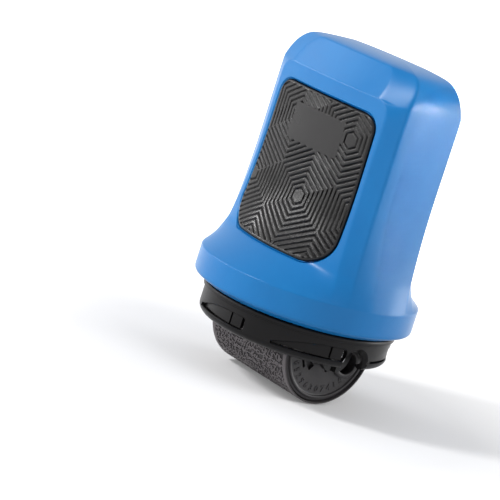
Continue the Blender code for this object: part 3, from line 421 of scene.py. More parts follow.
for cutter in (recess, recess_rim):
    finish_with(cutter, "MIRROR", use_axis=(False, True, False), use_clip=False, use_mirror_merge=False)
    bpy.ops.object.mode_set(mode="EDIT")
    bpy.ops.mesh.select_all(action="SELECT")
    bpy.ops.mesh.normals_make_consistent(inside=False)
    bpy.ops.object.mode_set(mode="OBJECT")
    finish_with(housing, "BOOLEAN", operation="DIFFERENCE", solver="EXACT", object=cutter)
    bpy.data.objects.remove(cutter)


SMOOTH_ANGLE = 35


def smooth_by_angle(piece, degrees=SMOOTH_ANGLE):
    """Smooths the shading over edges that turn less than the angle."""
    bpy.ops.object.select_all(action="DESELECT")
    bpy.context.view_layer.objects.active = piece
    piece.select_set(True)
    bpy.ops.object.shade_smooth_by_angle(angle=math.radians(degrees))


smooth_by_angle(housing)


def grain_group():
    """Fine mould grain with soft handling marks: puts out a colour, a roughness and a height."""
    group = bpy.data.node_groups.new("moulded_grain", "ShaderNodeTree")
    socket = group.interface.new_socket
    for name, kind, value in (
        ("Colour", "NodeSocketColor", (0.5, 0.5, 0.5, 1.0)),
        ("Tint", "NodeSocketColor", (0.5, 0.5, 0.5, 1.0)),
        ("Roughness", "NodeSocketFloat", 0.4),
        ("Marks", "NodeSocketFloat", 0.08),
        ("Grain Size", "NodeSocketFloat", 9000.0),
        ("Grain", "NodeSocketFloat", 1.0),
    ):
        socket(name, in_out="INPUT", socket_type=kind).default_value = value
    socket("Colour", in_out="OUTPUT", socket_type="NodeSocketColor")
    socket("Roughness", in_out="OUTPUT", socket_type="NodeSocketFloat")
    socket("Height", in_out="OUTPUT", socket_type="NodeSocketFloat")
    made, join = group.nodes.new, group.links.new
    given, out = made("NodeGroupInput"), made("NodeGroupOutput")
    place = made("ShaderNodeTexCoord")
    grain = made("ShaderNodeTexNoise")
    grain.inputs["Detail"].default_value = 2.0
    join(place.outputs["Object"], grain.inputs["Vector"])
    join(given.outputs["Grain Size"], grain.inputs["Scale"])
    smudge = made("ShaderNodeTexNoise")
    smudge.inputs["Scale"].default_value = 70.0
    smudge.inputs["Detail"].default_value = 4.0
    smudge.inputs["Roughness"].default_value = 0.6
    join(place.outputs["Object"], smudge.inputs["Vector"])
    contrast = made("ShaderNodeMapRange")
    contrast.inputs["From Min"].default_value = 0.38
    contrast.inputs["From Max"].default_value = 0.66
    join(smudge.outputs["Fac"], contrast.inputs["Value"])
    mixed = made("ShaderNodeMix")
    mixed.data_type = "RGBA"
    join(contrast.outputs["Result"], mixed.inputs["Factor"])
    join(given.outputs["Colour"], mixed.inputs["A"])
    join(given.outputs["Tint"], mixed.inputs["B"])
    shine = made("ShaderNodeMath")
    shine.operation = "MULTIPLY_ADD"
    join(contrast.outputs["Result"], shine.inputs[0])
    join(given.outputs["Marks"], shine.inputs[1])
    join(given.outputs["Roughness"], shine.inputs[2])
    height = made("ShaderNodeMath")
    height.operation = "MULTIPLY"
    join(grain.outputs["Fac"], height.inputs[0])
    join(given.outputs["Grain"], height.inputs[1])
    join(mixed.outputs["Result"], out.inputs["Colour"])
    join(shine.outputs[0], out.inputs["Roughness"])
    join(height.outputs[0], out.inputs["Height"])
    return group


moulded_grain = grain_group()


BUMP_DISTANCE = 0.0001


def grained(name, colour, tint, roughness, marks, size, bump, metallic=0.0, gloss=0.3):
    """Material with mould grain and handling marks of its own values."""
    look = bpy.data.materials.new(name)
    look.use_nodes = True
    made, join = look.node_tree.nodes.new, look.node_tree.links.new
    shader = look.node_tree.nodes["Principled BSDF"]
    shader.inputs["Metallic"].default_value = metallic
    shader.inputs["Specular IOR Level"].default_value = gloss
    group = made("ShaderNodeGroup")
    group.node_tree = moulded_grain
    group.inputs["Colour"].default_value = (*colour, 1.0)
    group.inputs["Tint"].default_value = (*tint, 1.0)
    group.inputs["Roughness"].default_value = roughness
    group.inputs["Marks"].default_value = marks
    group.inputs["Grain Size"].default_value = size
    relief = made("ShaderNodeBump")
    relief.inputs["Strength"].default_value = bump
    relief.inputs["Distance"].default_value = BUMP_DISTANCE
    join(group.outputs["Colour"], shader.inputs["Base Color"])
    join(group.outputs["Roughness"], shader.inputs["Roughness"])
    join(group.outputs["Height"], relief.inputs["Height"])
    join(relief.outputs["Normal"], shader.inputs["Normal"])
    return look


blue_plastic = grained(
    "blue_plastic", (0.0038, 0.134, 0.372), (0.0050, 0.145, 0.392),
    roughness=0.28, marks=0.04, size=5200.0, bump=0.1, gloss=0.22,
)
housing.data.materials.clear()
housing.data.materials.append(blue_plastic)
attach(housing, "handle")
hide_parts("housing_shell")


# Grip pads: soft dark mouldings pressed into the two broad faces.
# Nested six-sided grooves run over them, with a plain field in the upper half.
CELL_APOTHEM = 0.0118
GROOVES_PER_CELL = 8
GROOVE_PITCH = CELL_APOTHEM / GROOVES_PER_CELL
GROOVE_WIDTH = 0.00058
GROOVE_DEPTH = 0.00042
CELL_MIDDLE = (0.0029, 0.0559)
PLAIN_FIELD = (0.0112, 0.0697, 0.0803)
PAD_PROUD = 0.0002
PAD_EDGE_ROUND = 0.0007
PAD_GRID = (236, 240)
PAD_CROWDING = 0.25
PAD_BACK = 0.001
PAD_SMOOTH_ANGLE = 50
PLAIN_BORDER = 0.0007
GROOVE_SLOPE_SHARE = 0.3
SIN_60 = math.sqrt(3) / 2


def six_sided_distance(x, z):
    """Distance to the nearest cell's middle, measured square to the sides of its hexagon."""
    best = 1.0
    for row in (-1, 0, 1, 2):
        for column in (-2, -1, 0, 1, 2):
            dx = abs(x - CELL_MIDDLE[0] - CELL_APOTHEM * (2 * column + row % 2))
            dz = abs(z - CELL_MIDDLE[1] - CELL_APOTHEM * 2 * SIN_60 * row)
            best = min(best, max(dx, dx / 2 + dz * SIN_60))
    return best


def edge_distance(x, z):
    """Distance from a point of the pad to its outline."""
    across = pad_half_width(z, 0.0) - abs(x)
    distance = min(across, z - PAD_BOTTOM, PAD_TOP - z)
    lower = (PAD_LOWER_ROUND, PAD_BOTTOM + PAD_LOWER_ROUND)
    upper = (PAD_UPPER_ROUND, PAD_TOP - PAD_UPPER_ROUND)
    for corner, level in (lower, upper):
        share = (level - PAD_BOTTOM) / (PAD_TOP - PAD_BOTTOM)
        centre = PAD_HALF_WIDTH + (PAD_TOP_HALF_WIDTH - PAD_HALF_WIDTH) * share - corner
        outside = (level - z) if level < (PAD_BOTTOM + PAD_TOP) / 2 else (z - level)
        if outside > 0 and abs(x) > centre:
            distance = min(distance, corner - math.hypot(outside, abs(x) - centre))
    return max(0.0, distance)


def pad_depth(x, z):
    """How far under the housing's skin the pad's face lies: proud on its lands, deep in its grooves."""
    depth = -PAD_PROUD
    edge = edge_distance(x, z)
    if edge < PAD_EDGE_ROUND:
        depth += PAD_EDGE_ROUND - math.sqrt(PAD_EDGE_ROUND**2 - (PAD_EDGE_ROUND - edge) ** 2)
    half_x, low, high = PLAIN_FIELD
    if (abs(x) < half_x and low < z < high) or edge < PLAIN_BORDER:
        return depth
    turn = six_sided_distance(x, z) / GROOVE_PITCH
    if turn > 1:
        off_middle = abs(turn % 1 - 0.5) * GROOVE_PITCH
        inside = (GROOVE_WIDTH / 2 - off_middle) / (GROOVE_WIDTH * GROOVE_SLOPE_SHARE)
        depth += GROOVE_DEPTH * min(1.0, max(0.0, inside))
    return depth


pad_rubber = grained(
    "pad_rubber", (0.0062, 0.0056, 0.0059), (0.0085, 0.0078, 0.0081),
    roughness=0.23, marks=0.05, size=4200.0, bump=0.12, gloss=0.24,
)


def pad_face(x, z):
    """Point of the pad's face, measured square to the skin."""
    place, normal = on_skin(x, z)
    return place - normal * pad_depth(x, z)


front_pad = laid_on_face("front_pad", 0.0, PAD_GRID, PAD_CROWDING, pad_face)
bpy.ops.object.mode_set(mode="EDIT")
bpy.ops.mesh.select_all(action="SELECT")
bpy.ops.mesh.extrude_region_move(TRANSFORM_OT_translate={"value": (0, PAD_BACK, 0)})
bpy.ops.mesh.select_all(action="SELECT")
bpy.ops.mesh.normals_make_consistent(inside=False)
bpy.ops.object.mode_set(mode="OBJECT")
smooth_by_angle(front_pad, PAD_SMOOTH_ANGLE)
front_pad.data.materials.append(pad_rubber)
rear_pad = new_piece("rear_pad", front_pad.copy())
rear_pad.data = front_pad.data.copy()
bpy.context.scene.collection.objects.link(rear_pad)
rear_pad.data.transform(Matrix.Rotation(math.pi, 4, "Z"))
for pad, node in ((front_pad, "front_grip_pad"), (rear_pad, "rear_grip_pad")):
    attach(pad, "handle")
    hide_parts(node)


# Roller guard: a round bowl of satin black plastic under the housing, open in the middle for the drum.
# It is turned as one wall and flange, then its openings, six ramp windows and the port's notch are cut.
GUARD_TOP = 0.0236
GUARD_BOTTOM = 0.0142
GUARD_RADIUS = 0.0283
GUARD_WALL = 0.0018
COLLAR_RADIUS = 0.0289
FLANGE_RADIUS = 0.012
FLANGE_BOTTOM = 0.0214
LIP_INSET = 0.0027
CORNER_HEIGHT = 0.0024
CORNER_STEPS = 9
GUARD_STEPS = 180
GUARD_SMOOTH_ANGLE = 32
TURN_OFFSET = 0.31


def turned(name, profile, steps, along, centre=(0.0, 0.0, 0.0), closed=True):
    """Piece turned from (radius, place) points about an axis along Z or X through the centre."""
    rings = []
    for radius, place in (profile + profile[:1] if closed else profile):
        ring = []
        for step in range(steps):
            angle = math.tau * (step + TURN_OFFSET) / steps
            side, up = radius * math.cos(angle), radius * math.sin(angle)
            ring.append(Vector(centre) + Vector((side, up, place) if along == "Z" else (place, side, up)))
        rings.append(ring)
    return drawn_through(name, rings, not closed)


lip_outer = []
lip_inner = []
for step in range(CORNER_STEPS + 1):
    angle = math.pi / 2 * step / CORNER_STEPS
    drop = CORNER_HEIGHT * (1 - math.sin(angle))
    reach = LIP_INSET * (1 - math.cos(angle))
    lip_outer.append((GUARD_RADIUS - reach, GUARD_BOTTOM + drop))
    lip_inner.append((GUARD_RADIUS - GUARD_WALL - reach, GUARD_BOTTOM + drop + GUARD_WALL / 2))
lip_edge = [(0.02545, 0.01422), (0.0252, 0.0143), (0.0245, 0.01455), (0.02418, 0.0148)]
guard_profile = [
    (FLANGE_RADIUS, GUARD_TOP), (0.0284, GUARD_TOP), (0.0287, 0.02352), (0.02886, 0.02332),
    (COLLAR_RADIUS, 0.0231), (COLLAR_RADIUS, 0.0224), (0.02884, 0.02226), (0.02872, 0.0222),
    (0.02852, 0.0222), (0.0284, 0.02214), (0.02832, 0.022), (GUARD_RADIUS, 0.0218),
    *lip_outer, *lip_edge, *reversed(lip_inner[:-1]),
    (GUARD_RADIUS - GUARD_WALL, FLANGE_BOTTOM), (FLANGE_RADIUS, FLANGE_BOTTOM),
]
guard = turned("guard_bowl", guard_profile, GUARD_STEPS, "Z")


DRUM_OPENING = (0.019, 0.0166)
ARM_OPENING = (0.0216, 0.0078)
OPENING_LOW = 0.0194
OPENING_HIGH = 0.0256
OPENING_CORNER = 0.0008
OPENING_CORNER_STEPS = 4


def cut_box(name, half_x, half_y, low, high):
    """Square cutter with slightly rounded upright corners."""
    bpy.ops.object.select_all(action="DESELECT")
    bpy.ops.mesh.primitive_cube_add(size=1, location=(0, 0, (low + high) / 2))
    bpy.ops.transform.resize(value=(2 * half_x, 2 * half_y, high - low))
    bpy.ops.object.transform_apply(location=True, rotation=False, scale=True)
    box = new_piece(name, bpy.context.object)
    bpy.ops.object.mode_set(mode="EDIT")
    shape = bmesh.from_edit_mesh(box.data)
    bpy.ops.mesh.select_all(action="DESELECT")
    for edge in shape.edges:
        edge.select = abs(edge.verts[0].co.z - edge.verts[1].co.z) > (high - low) / 2
    bmesh.update_edit_mesh(box.data)
    bpy.ops.mesh.bevel(offset=OPENING_CORNER, segments=OPENING_CORNER_STEPS, affect="EDGES")
    bpy.ops.object.mode_set(mode="OBJECT")
    return box


def cut_away(piece, cutter):
    """Cuts a piece with a closed cutter, which is then removed."""
    finish_with(piece, "BOOLEAN", operation="DIFFERENCE", solver="EXACT", object=cutter)
    bpy.data.objects.remove(cutter)


def joined(name, parts):
    """Joins like pieces into one object."""
    bpy.ops.object.select_all(action="DESELECT")
    for part in parts:
        part.select_set(True)
    bpy.context.view_layer.objects.active = parts[0]
    if len(parts) > 1:
        bpy.ops.object.join()
    return new_piece(name, parts[0])


SCREW_X = 0.0095
SCREW_Y = 0.021
SCREW_HOLE_RADIUS = 0.0016
SCREW_HOLE_LENGTH = 0.006
SCREW_HOLE_LEVEL = 0.0225
SCREW_HOLE_STEPS = 28
cut_away(guard, cut_box("drum_opening", *DRUM_OPENING, OPENING_LOW, OPENING_HIGH))
cut_away(guard, cut_box("arm_opening", *ARM_OPENING, OPENING_LOW, OPENING_HIGH))
screw_holes = []
for side_x, side_y in ((-1, -1), (1, -1), (-1, 1), (1, 1)):
    bpy.ops.object.select_all(action="DESELECT")
    bpy.ops.mesh.primitive_cylinder_add(
        vertices=SCREW_HOLE_STEPS, radius=SCREW_HOLE_RADIUS, depth=SCREW_HOLE_LENGTH,
        location=(side_x * SCREW_X, side_y * SCREW_Y, SCREW_HOLE_LEVEL),
    )
    bpy.ops.object.transform_apply(location=True, rotation=False, scale=False)
    screw_holes.append(bpy.context.object)
cut_away(guard, joined("screw_holes", screw_holes))

WINDOW_ENDS = (-7.0, -71.0, -131.0, 173.0, 113.0, 53.0)
WINDOW_SPAN = 46.0
LAST_WINDOW_SPAN = 41.5
TONGUE_START = 11.0
TONGUE_END = 2.4
SLIT = 1.2
STEP_TURN = 0.03
WINDOW_LOW = 0.0165
WINDOW_HIGH = 0.0202
WINDOW_TIP = 0.0006
RAMP_STEPS = 24
RAMP_POWER = 1.5
RAMP_DEPTH = 0.0012
RAMP_SHALLOW = 0.00033
TONGUE_SUNK = 0.00034
TONGUE_STEPS = 4
SLOT_HEIGHT = 0.0004
SLOT_START = 7.0
EDGE_FLARE = 0.00026
CUT_REACH = 0.001
END_ROUND = 0.0012
END_ROUND_LIMIT = 0.98
END_STEPS = 8
THROUGH = GUARD_RADIUS - GUARD_WALL - CUT_REACH


def window_section(angle, floor_radius, slot_radius, high, corner=0.0):
    """Section of a window's cutter at an angle, with flared outer edges and a slot at its foot."""
    turn = math.radians(angle)
    lip = GUARD_RADIUS - EDGE_FLARE
    grow = EDGE_FLARE + CUT_REACH
    low, high = WINDOW_LOW + corner, high - corner
    slot_top = min(low + SLOT_HEIGHT, high)
    corners = (
        (slot_radius, low), (lip, low), (lip + grow, low - grow), (lip + grow, high + grow), (lip, high),
        (floor_radius, high), (floor_radius, slot_top), (slot_radius, slot_top),
    )
    return [Vector((radius * math.cos(turn), radius * math.sin(turn), z)) for radius, z in corners]


windows = []
for end in WINDOW_ENDS:
    start = end - (LAST_WINDOW_SPAN if end == WINDOW_ENDS[-1] else WINDOW_SPAN)
    tongue = end - TONGUE_START
    sections = []
    for step in range(RAMP_STEPS + 1):
        share = step / RAMP_STEPS
        angle = start + (tongue - start) * share
        rise = math.sin(math.pi / 2 * share)
        high = WINDOW_LOW + WINDOW_TIP + (WINDOW_HIGH - WINDOW_LOW - WINDOW_TIP) * rise
        floor_radius = GUARD_RADIUS - RAMP_DEPTH + (RAMP_DEPTH - RAMP_SHALLOW) * share**RAMP_POWER
        slotted = angle > start + SLOT_START
        sections.append(window_section(angle, floor_radius, THROUGH if slotted else floor_radius, high))
    for angle in (tongue + STEP_TURN, tongue + SLIT):
        sections.append(window_section(angle, THROUGH, THROUGH, WINDOW_HIGH))
    tongue_end = end - TONGUE_END
    tongue_turn = tongue_end - STEP_TURN - tongue - SLIT - STEP_TURN
    for step in range(TONGUE_STEPS + 1):
        angle = tongue + SLIT + STEP_TURN + tongue_turn * step / TONGUE_STEPS
        sections.append(window_section(angle, GUARD_RADIUS - TONGUE_SUNK, THROUGH, WINDOW_HIGH))
    for step in range(END_STEPS + 1):
        angle = tongue_end + TONGUE_END * step / END_STEPS
        past = max(0.0, END_ROUND - math.radians(end - angle) * GUARD_RADIUS)
        corner = END_ROUND - math.sqrt(END_ROUND**2 - min(past, END_ROUND * END_ROUND_LIMIT) ** 2)
        sections.append(window_section(angle, THROUGH, THROUGH, WINDOW_HIGH, corner))
    windows.append(drawn_through("window", sections, True))
cut_away(guard, joined("windows", windows))

NOTCH_RADIUS = 0.004
NOTCH_PLACE = (0.0, 0.0011, 0.0155)
NOTCH_STEPS = 64
NOTCH_PROFILE = [
    (NOTCH_RADIUS, 0.0205), (NOTCH_RADIUS, 0.0262), (0.0042, 0.0268), (0.0046, 0.0273), (0.0057, 0.0286),
]
cut_away(guard, turned("notch", NOTCH_PROFILE, NOTCH_STEPS, "X", NOTCH_PLACE, closed=False))
smooth_by_angle(guard, GUARD_SMOOTH_ANGLE)
black_plastic = grained(
    "black_plastic", (0.0035, 0.0033, 0.0036), (0.0055, 0.005, 0.0055),
    roughness=0.30, marks=0.1, size=6500.0, bump=0.1, gloss=0.15,
)
guard.data.materials.clear()
guard.data.materials.append(black_plastic)
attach(guard, "handle")
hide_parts("roller_guard")


# Carrier and its four screws: the dark deck, drum cover and arms that hang in the housing's foot.
# The solids have their shapes already, so here they only get a finish.


def dress(look, *nodes):
    """Puts a material in every slot of the named nodes."""
    for name in nodes:
        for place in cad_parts[name].material_slots:
            place.material = look


steel = grained(
    "steel", (0.52, 0.52, 0.53), (0.42, 0.42, 0.43),
    roughness=0.26, marks=0.16, size=12000.0, bump=0.15, metallic=1.0, gloss=0.5,
)
carrier_plastic = grained(
    "carrier_plastic", (0.010, 0.010, 0.0105), (0.014, 0.014, 0.0145),
    roughness=0.42, marks=0.1, size=5000.0, bump=0.15, gloss=0.2,
)
dress(carrier_plastic, "inner_carrier")
dress(steel, "chassis_screw_1", "chassis_screw_2", "chassis_screw_3", "chassis_screw_4")


# Axle with its clips, washers and the bushes of the two discs: plain steel and natural acetal.
# They too keep their solids, most of them hidden between the arms and the drum.
acetal = grained(
    "acetal", (0.78, 0.78, 0.76), (0.70, 0.70, 0.67), roughness=0.38, marks=0.1, size=8000.0, bump=0.1,
)
dress(steel, "axle", "axle_clip_left", "axle_clip_right")
dress(acetal, "thrust_washer_left", "thrust_washer_right", "bearing_bush_left", "bearing_bush_right")


# Drum core, its ink-soaked felt and the two seal rings, all inside the print sleeve.
# The felt is rough and matt, the core a plain grey moulding and the seals soft black rubber.
felt = grained(
    "felt", (0.045, 0.045, 0.05), (0.085, 0.085, 0.09), roughness=0.9, marks=0.05, size=2600.0, bump=1.0,
)
seal_rubber = grained(
    "seal_rubber", (0.009, 0.009, 0.009), (0.016, 0.016, 0.016),
    roughness=0.55, marks=0.1, size=7000.0, bump=0.3,
)
inner_plastic = grained(
    "inner_plastic", (0.05, 0.05, 0.052), (0.065, 0.065, 0.067),
    roughness=0.45, marks=0.12, size=5000.0, bump=0.2,
)
dress(inner_plastic, "drum_core")
dress(felt, "ink_felt")
dress(seal_rubber, "seal_ring_left", "seal_ring_right")


# Print sleeve: a moulded rubber tube with plain bands at its ends and rows of raised digits between them.
# The digits are mirrored, as on any stamp, and jumbled, and they stand on the tube's lower ground.
# Where the rubber is raised it is painted a little lighter: a painted highlight on the tops of the
# relief, against the darker ground.
DRUM_RADIUS = 0.016
DRUM_HALF_LENGTH = 0.0178
DRUM_CENTRE = (0.0, 0.0, AXIS_HEIGHT)
SLEEVE_GROUND = 0.01572
SLEEVE_STEPS = 128
half_sleeve = [
    (0.0149, 0.0), (0.0149, 0.0154), (0.0155, 0.0154), (0.0155, 0.0177),
    (0.01555, DRUM_HALF_LENGTH), (0.0158, DRUM_HALF_LENGTH), (0.01592, 0.01776), (0.01598, 0.01768),
    (DRUM_RADIUS, 0.01755), (DRUM_RADIUS, 0.01655), (0.01597, 0.01645), (0.01588, 0.01638),
    (0.01576, 0.01632), (SLEEVE_GROUND, 0.01622), (SLEEVE_GROUND, 0.008), (SLEEVE_GROUND, 0.0),
]
sleeve_profile = half_sleeve + [(radius, -place) for radius, place in reversed(half_sleeve[1:-1])]
sleeve = turned("sleeve_tube", sleeve_profile, SLEEVE_STEPS, "X", DRUM_CENTRE)
smooth_by_angle(sleeve)

DIGIT_SIZE = 0.0031
DIGIT_THICKNESS = 0.0004
DIGIT_WEIGHT = 0.00005
DIGIT_ROWS = 46
DIGITS_PER_ROW = 24
DIGIT_PITCH = 0.00136
DIGIT_SUNK = 0.00003
DIGIT_MERGE = 0.000004
DIGIT_TILT = 14
DIGIT_SEED = 11
SIDEWAYS_SHARE = 0.3
ROW_SHIFT = 0.3
COLUMN_JITTER = 0.12
ROW_JITTER = 0.08
RAISED_FROM = 0.01578
RAISED_TO = 0.01594
# Painted highlight: the colour given to the raised rubber, lighter than the ground between the digits.
RAISED_HIGHLIGHT_COLOUR = (0.112, 0.102, 0.107, 1.0)
digit_meshes = []
for digit in "0123456789":
    bpy.ops.object.select_all(action="DESELECT")
    bpy.ops.object.text_add()
    text = bpy.context.object
    text.data.body = digit
    text.data.size = DIGIT_SIZE
    text.data.extrude = DIGIT_THICKNESS / 2
    text.data.offset = DIGIT_WEIGHT
    text.data.resolution_u = 2
    text.data.align_x = "CENTER"
    text.data.align_y = "CENTER"
    bpy.ops.object.convert(target="MESH")
    bpy.ops.object.mode_set(mode="EDIT")
    bpy.ops.mesh.select_all(action="SELECT")
    bpy.ops.mesh.remove_doubles(threshold=DIGIT_MERGE)
    bpy.ops.object.mode_set(mode="OBJECT")
    mesh = bpy.context.object.data
    mesh.transform(Matrix.Diagonal((-1.0, 1.0, 1.0, 1.0)))
    digit_meshes.append(mesh)
    bpy.data.objects.remove(bpy.context.object)

jumble = random.Random(DIGIT_SEED)
digits = []
for row in range(DIGIT_ROWS):
    shift = jumble.uniform(-ROW_SHIFT, ROW_SHIFT)
    for column in range(DIGITS_PER_ROW):
        jitter = jumble.uniform(-COLUMN_JITTER, COLUMN_JITTER)
        across = (column - (DIGITS_PER_ROW - 1) / 2 + shift + jitter) * DIGIT_PITCH
        around = (row + jumble.uniform(-ROW_JITTER, ROW_JITTER)) / DIGIT_ROWS * math.tau * DRUM_RADIUS
        copy = jumble.choice(digit_meshes).copy()
        turn = Matrix.Rotation(math.radians(jumble.uniform(-DIGIT_TILT, DIGIT_TILT)), 4, "Z")
        if jumble.random() < SIDEWAYS_SHARE:
            turn = turn @ Matrix.Rotation(math.pi / 2, 4, "Z")
        copy.transform(Matrix.Translation((across, around, 0.0)) @ turn)
        digit_object = bpy.data.objects.new("digit", copy)
        bpy.context.scene.collection.objects.link(digit_object)
        digits.append(digit_object)
relief = joined("sleeve_digits", digits)
points = np.zeros(len(relief.data.vertices) * 3)
relief.data.vertices.foreach_get("co", points)
points = points.reshape(-1, 3)
radius = DRUM_RADIUS - DIGIT_SUNK - DIGIT_THICKNESS / 2 + points[:, 2]
angle = points[:, 1] / DRUM_RADIUS
wrapped = np.stack((points[:, 0], radius * np.cos(angle), AXIS_HEIGHT + radius * np.sin(angle)), axis=1)
relief.data.vertices.foreach_set("co", wrapped.ravel())
relief.data.update()
bpy.ops.object.mode_set(mode="EDIT")
bpy.ops.mesh.select_all(action="SELECT")
bpy.ops.mesh.normals_make_consistent(inside=False)
bpy.ops.object.mode_set(mode="OBJECT")
smooth_by_angle(relief)
print_rubber = grained(
    "print_rubber", (0.034, 0.031, 0.033), (0.046, 0.042, 0.044),
    roughness=0.5, marks=0.14, size=3800.0, bump=0.4,
)
made, join = print_rubber.node_tree.nodes.new, print_rubber.node_tree.links.new
from_axis = made("ShaderNodeVectorMath")
from_axis.operation = "MULTIPLY_ADD"
from_axis.inputs[1].default_value = (0.0, 1.0, 1.0)
from_axis.inputs[2].default_value = (0.0, 0.0, -AXIS_HEIGHT)
join(made("ShaderNodeTexCoord").outputs["Object"], from_axis.inputs[0])
reach = made("ShaderNodeVectorMath")
reach.operation = "LENGTH"
join(from_axis.outputs["Vector"], reach.inputs[0])
raised = made("ShaderNodeMapRange")
raised.inputs["From Min"].default_value = RAISED_FROM
raised.inputs["From Max"].default_value = RAISED_TO
join(reach.outputs["Value"], raised.inputs["Value"])
# Painted highlight: above a height over the axis the rubber is mixed towards the lighter colour, so the
# ground stays darker.
raised_highlight = made("ShaderNodeMix")
raised_highlight.data_type = "RGBA"
raised_highlight.inputs["B"].default_value = RAISED_HIGHLIGHT_COLOUR
shader = print_rubber.node_tree.nodes["Principled BSDF"]
join(raised.outputs["Result"], raised_highlight.inputs["Factor"])
join(shader.inputs["Base Color"].links[0].from_socket, raised_highlight.inputs["A"])
join(raised_highlight.outputs["Result"], shader.inputs["Base Color"])
for piece in (sleeve, relief):
    piece.data.materials.clear()
    piece.data.materials.append(print_rubber)
    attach(piece, "drum")
    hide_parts("print_sleeve")


# End discs: grey mouldings pressed into the sleeve's ends, with a raised rim and a hub round the bush.
# The right one has the hole of the filling port, three arched pockets in its face and a ring of raised
# numbers near its rim.
DISC_FACE = 0.0172
DISC_OUTER = 0.0152
DISC_BORE = 0.0025
DISC_STEPS = 144
disc_profile = [
    (DISC_BORE, 0.0179), (0.0031, 0.0179), (0.00324, 0.01786), (0.0033, 0.01772), (0.00336, 0.01734),
    (0.0035, 0.01722), (0.0037, DISC_FACE), (0.0131, DISC_FACE), (0.01335, 0.01723), (0.01352, 0.01736),
    (0.0136, 0.0176), (0.01366, 0.01773), (0.0138, 0.0178), (0.0141, 0.0178), (0.01424, 0.01773),
    (0.0143, 0.0176), (0.01436, 0.01736), (0.0145, 0.01722), (0.0147, DISC_FACE), (0.01495, DISC_FACE),
    (0.01513, 0.01712), (DISC_OUTER, 0.01695), (DISC_OUTER, 0.0157), (0.004, 0.0157),
    (0.004, 0.0129), (DISC_BORE, 0.0129),
]
disc_plastic = grained(
    "disc_plastic", (0.022, 0.0205, 0.022), (0.030, 0.028, 0.030),
    roughness=0.34, marks=0.1, size=5200.0, bump=0.18, gloss=0.30,
)
PORT_ANGLE = math.radians(-20.4)
PORT_OFFSET = 0.0083
PORT_CENTRE = (0.0, PORT_OFFSET * math.cos(PORT_ANGLE), AXIS_HEIGHT + PORT_OFFSET * math.sin(PORT_ANGLE))
PORT_TUBE_RADIUS = 0.0037
PORT_GAP = 0.0003
PORT_HOLE_INNER = 0.012
PORT_HOLE_OUTER = 0.019
PORT_STEPS = 72
POCKETS = ((0.0061, 0.0081, 165, 231), (0.0087, 0.0095, 165, 217), (0.0037, 0.0064, 277, 297))
POCKET_FLOOR = 0.0161
POCKET_OUTER = 0.0185
POCKET_STEPS = 18
NUMBERS_RADIUS = 0.0116
NUMBERS_SCALE = 0.85
NUMBERS_ANGLES = range(-168, -30, 11)
NUMBERS_FIRST = 1
NUMBERS_STRIDE = 7


def pocket_cutter(inner, outer, start, end):
    """Arched cutter for a pocket in the disc's face, between two radii and two angles."""
    corners = (
        (inner, POCKET_FLOOR), (outer, POCKET_FLOOR), (outer, POCKET_OUTER), (inner, POCKET_OUTER),
    )
    sections = []
    for step in range(POCKET_STEPS + 1):
        turn = math.radians(start + (end - start) * step / POCKET_STEPS)
        sections.append([
            Vector((x, radius * math.cos(turn), AXIS_HEIGHT + radius * math.sin(turn)))
            for radius, x in corners
        ])
    return drawn_through("pocket", sections, True)


for side, name in ((1, "right"), (-1, "left")):
    profile = [(radius, side * place) for radius, place in disc_profile]
    disc = turned("drum_disc_" + name, profile, DISC_STEPS, "X", DRUM_CENTRE)
    if side > 0:
        hole = [(PORT_TUBE_RADIUS + PORT_GAP, place) for place in (PORT_HOLE_INNER, PORT_HOLE_OUTER)]
        cut_away(disc, turned("port_hole", hole, PORT_STEPS, "X", PORT_CENTRE, closed=False))
        cut_away(disc, joined("pockets", [pocket_cutter(*pocket) for pocket in POCKETS]))
    smooth_by_angle(disc)
    disc.data.materials.clear()
    disc.data.materials.append(disc_plastic)
    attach(disc, "drum")
    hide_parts("end_disc_" + name)

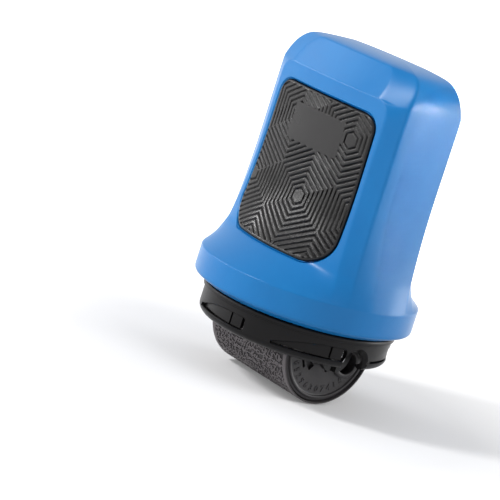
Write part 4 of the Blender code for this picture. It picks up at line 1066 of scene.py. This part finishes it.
numbers = []
for count, angle in enumerate(NUMBERS_ANGLES):
    copy = digit_meshes[(count * NUMBERS_STRIDE + NUMBERS_FIRST) % len(digit_meshes)].copy()
    outward = Vector((0, math.cos(math.radians(angle)), math.sin(math.radians(angle))))
    across = Vector((0, -outward.z, outward.y))
    place = Vector((DISC_FACE, 0, AXIS_HEIGHT)) + outward * NUMBERS_RADIUS
    turn = Matrix((-across, -outward, Vector((1, 0, 0)))).transposed().to_4x4()
    copy.transform(Matrix.Translation(place) @ turn @ Matrix.Scale(NUMBERS_SCALE, 4))
    number_object = bpy.data.objects.new("number", copy)
    bpy.context.scene.collection.objects.link(number_object)
    numbers.append(number_object)
numbers = joined("disc_numbers", numbers)
bpy.ops.object.mode_set(mode="EDIT")
bpy.ops.mesh.select_all(action="SELECT")
bpy.ops.mesh.normals_make_consistent(inside=False)
bpy.ops.object.mode_set(mode="OBJECT")
smooth_by_angle(numbers)
numbers.data.materials.clear()
numbers.data.materials.append(disc_plastic)
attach(numbers, "drum")
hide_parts("end_disc_right")


# Filling port: a flanged nipple pressed into the right disc, with a rubber valve deep in its bore.
# Its edge is rounded where an ink vial's nozzle is pushed in.
PORT_BORE_RADIUS = 0.00315
VALVE_STOP_RADIUS = 0.00265
PORT_FLANGE_RADIUS = 0.0046
port_profile = [
    (PORT_BORE_RADIUS, 0.0152), (PORT_BORE_RADIUS, 0.0176), (0.00318, 0.01785), (0.00328, 0.018),
    (0.00345, 0.01808), (0.00365, 0.0181), (0.0040, 0.0181), (0.00425, 0.01806), (0.00445, 0.01794),
    (0.00456, 0.01778), (PORT_FLANGE_RADIUS, 0.0176), (PORT_FLANGE_RADIUS, 0.0175),
    (PORT_TUBE_RADIUS, 0.0175), (PORT_TUBE_RADIUS, 0.0118), (VALVE_STOP_RADIUS, 0.0118),
    (VALVE_STOP_RADIUS, 0.0123), (PORT_BORE_RADIUS, 0.0123),
]
port = turned("filling_nipple", port_profile, PORT_STEPS, "X", PORT_CENTRE)
smooth_by_angle(port)
port.data.materials.append(disc_plastic)
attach(port, "drum")
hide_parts("fill_port")
dress(seal_rubber, "fill_valve")
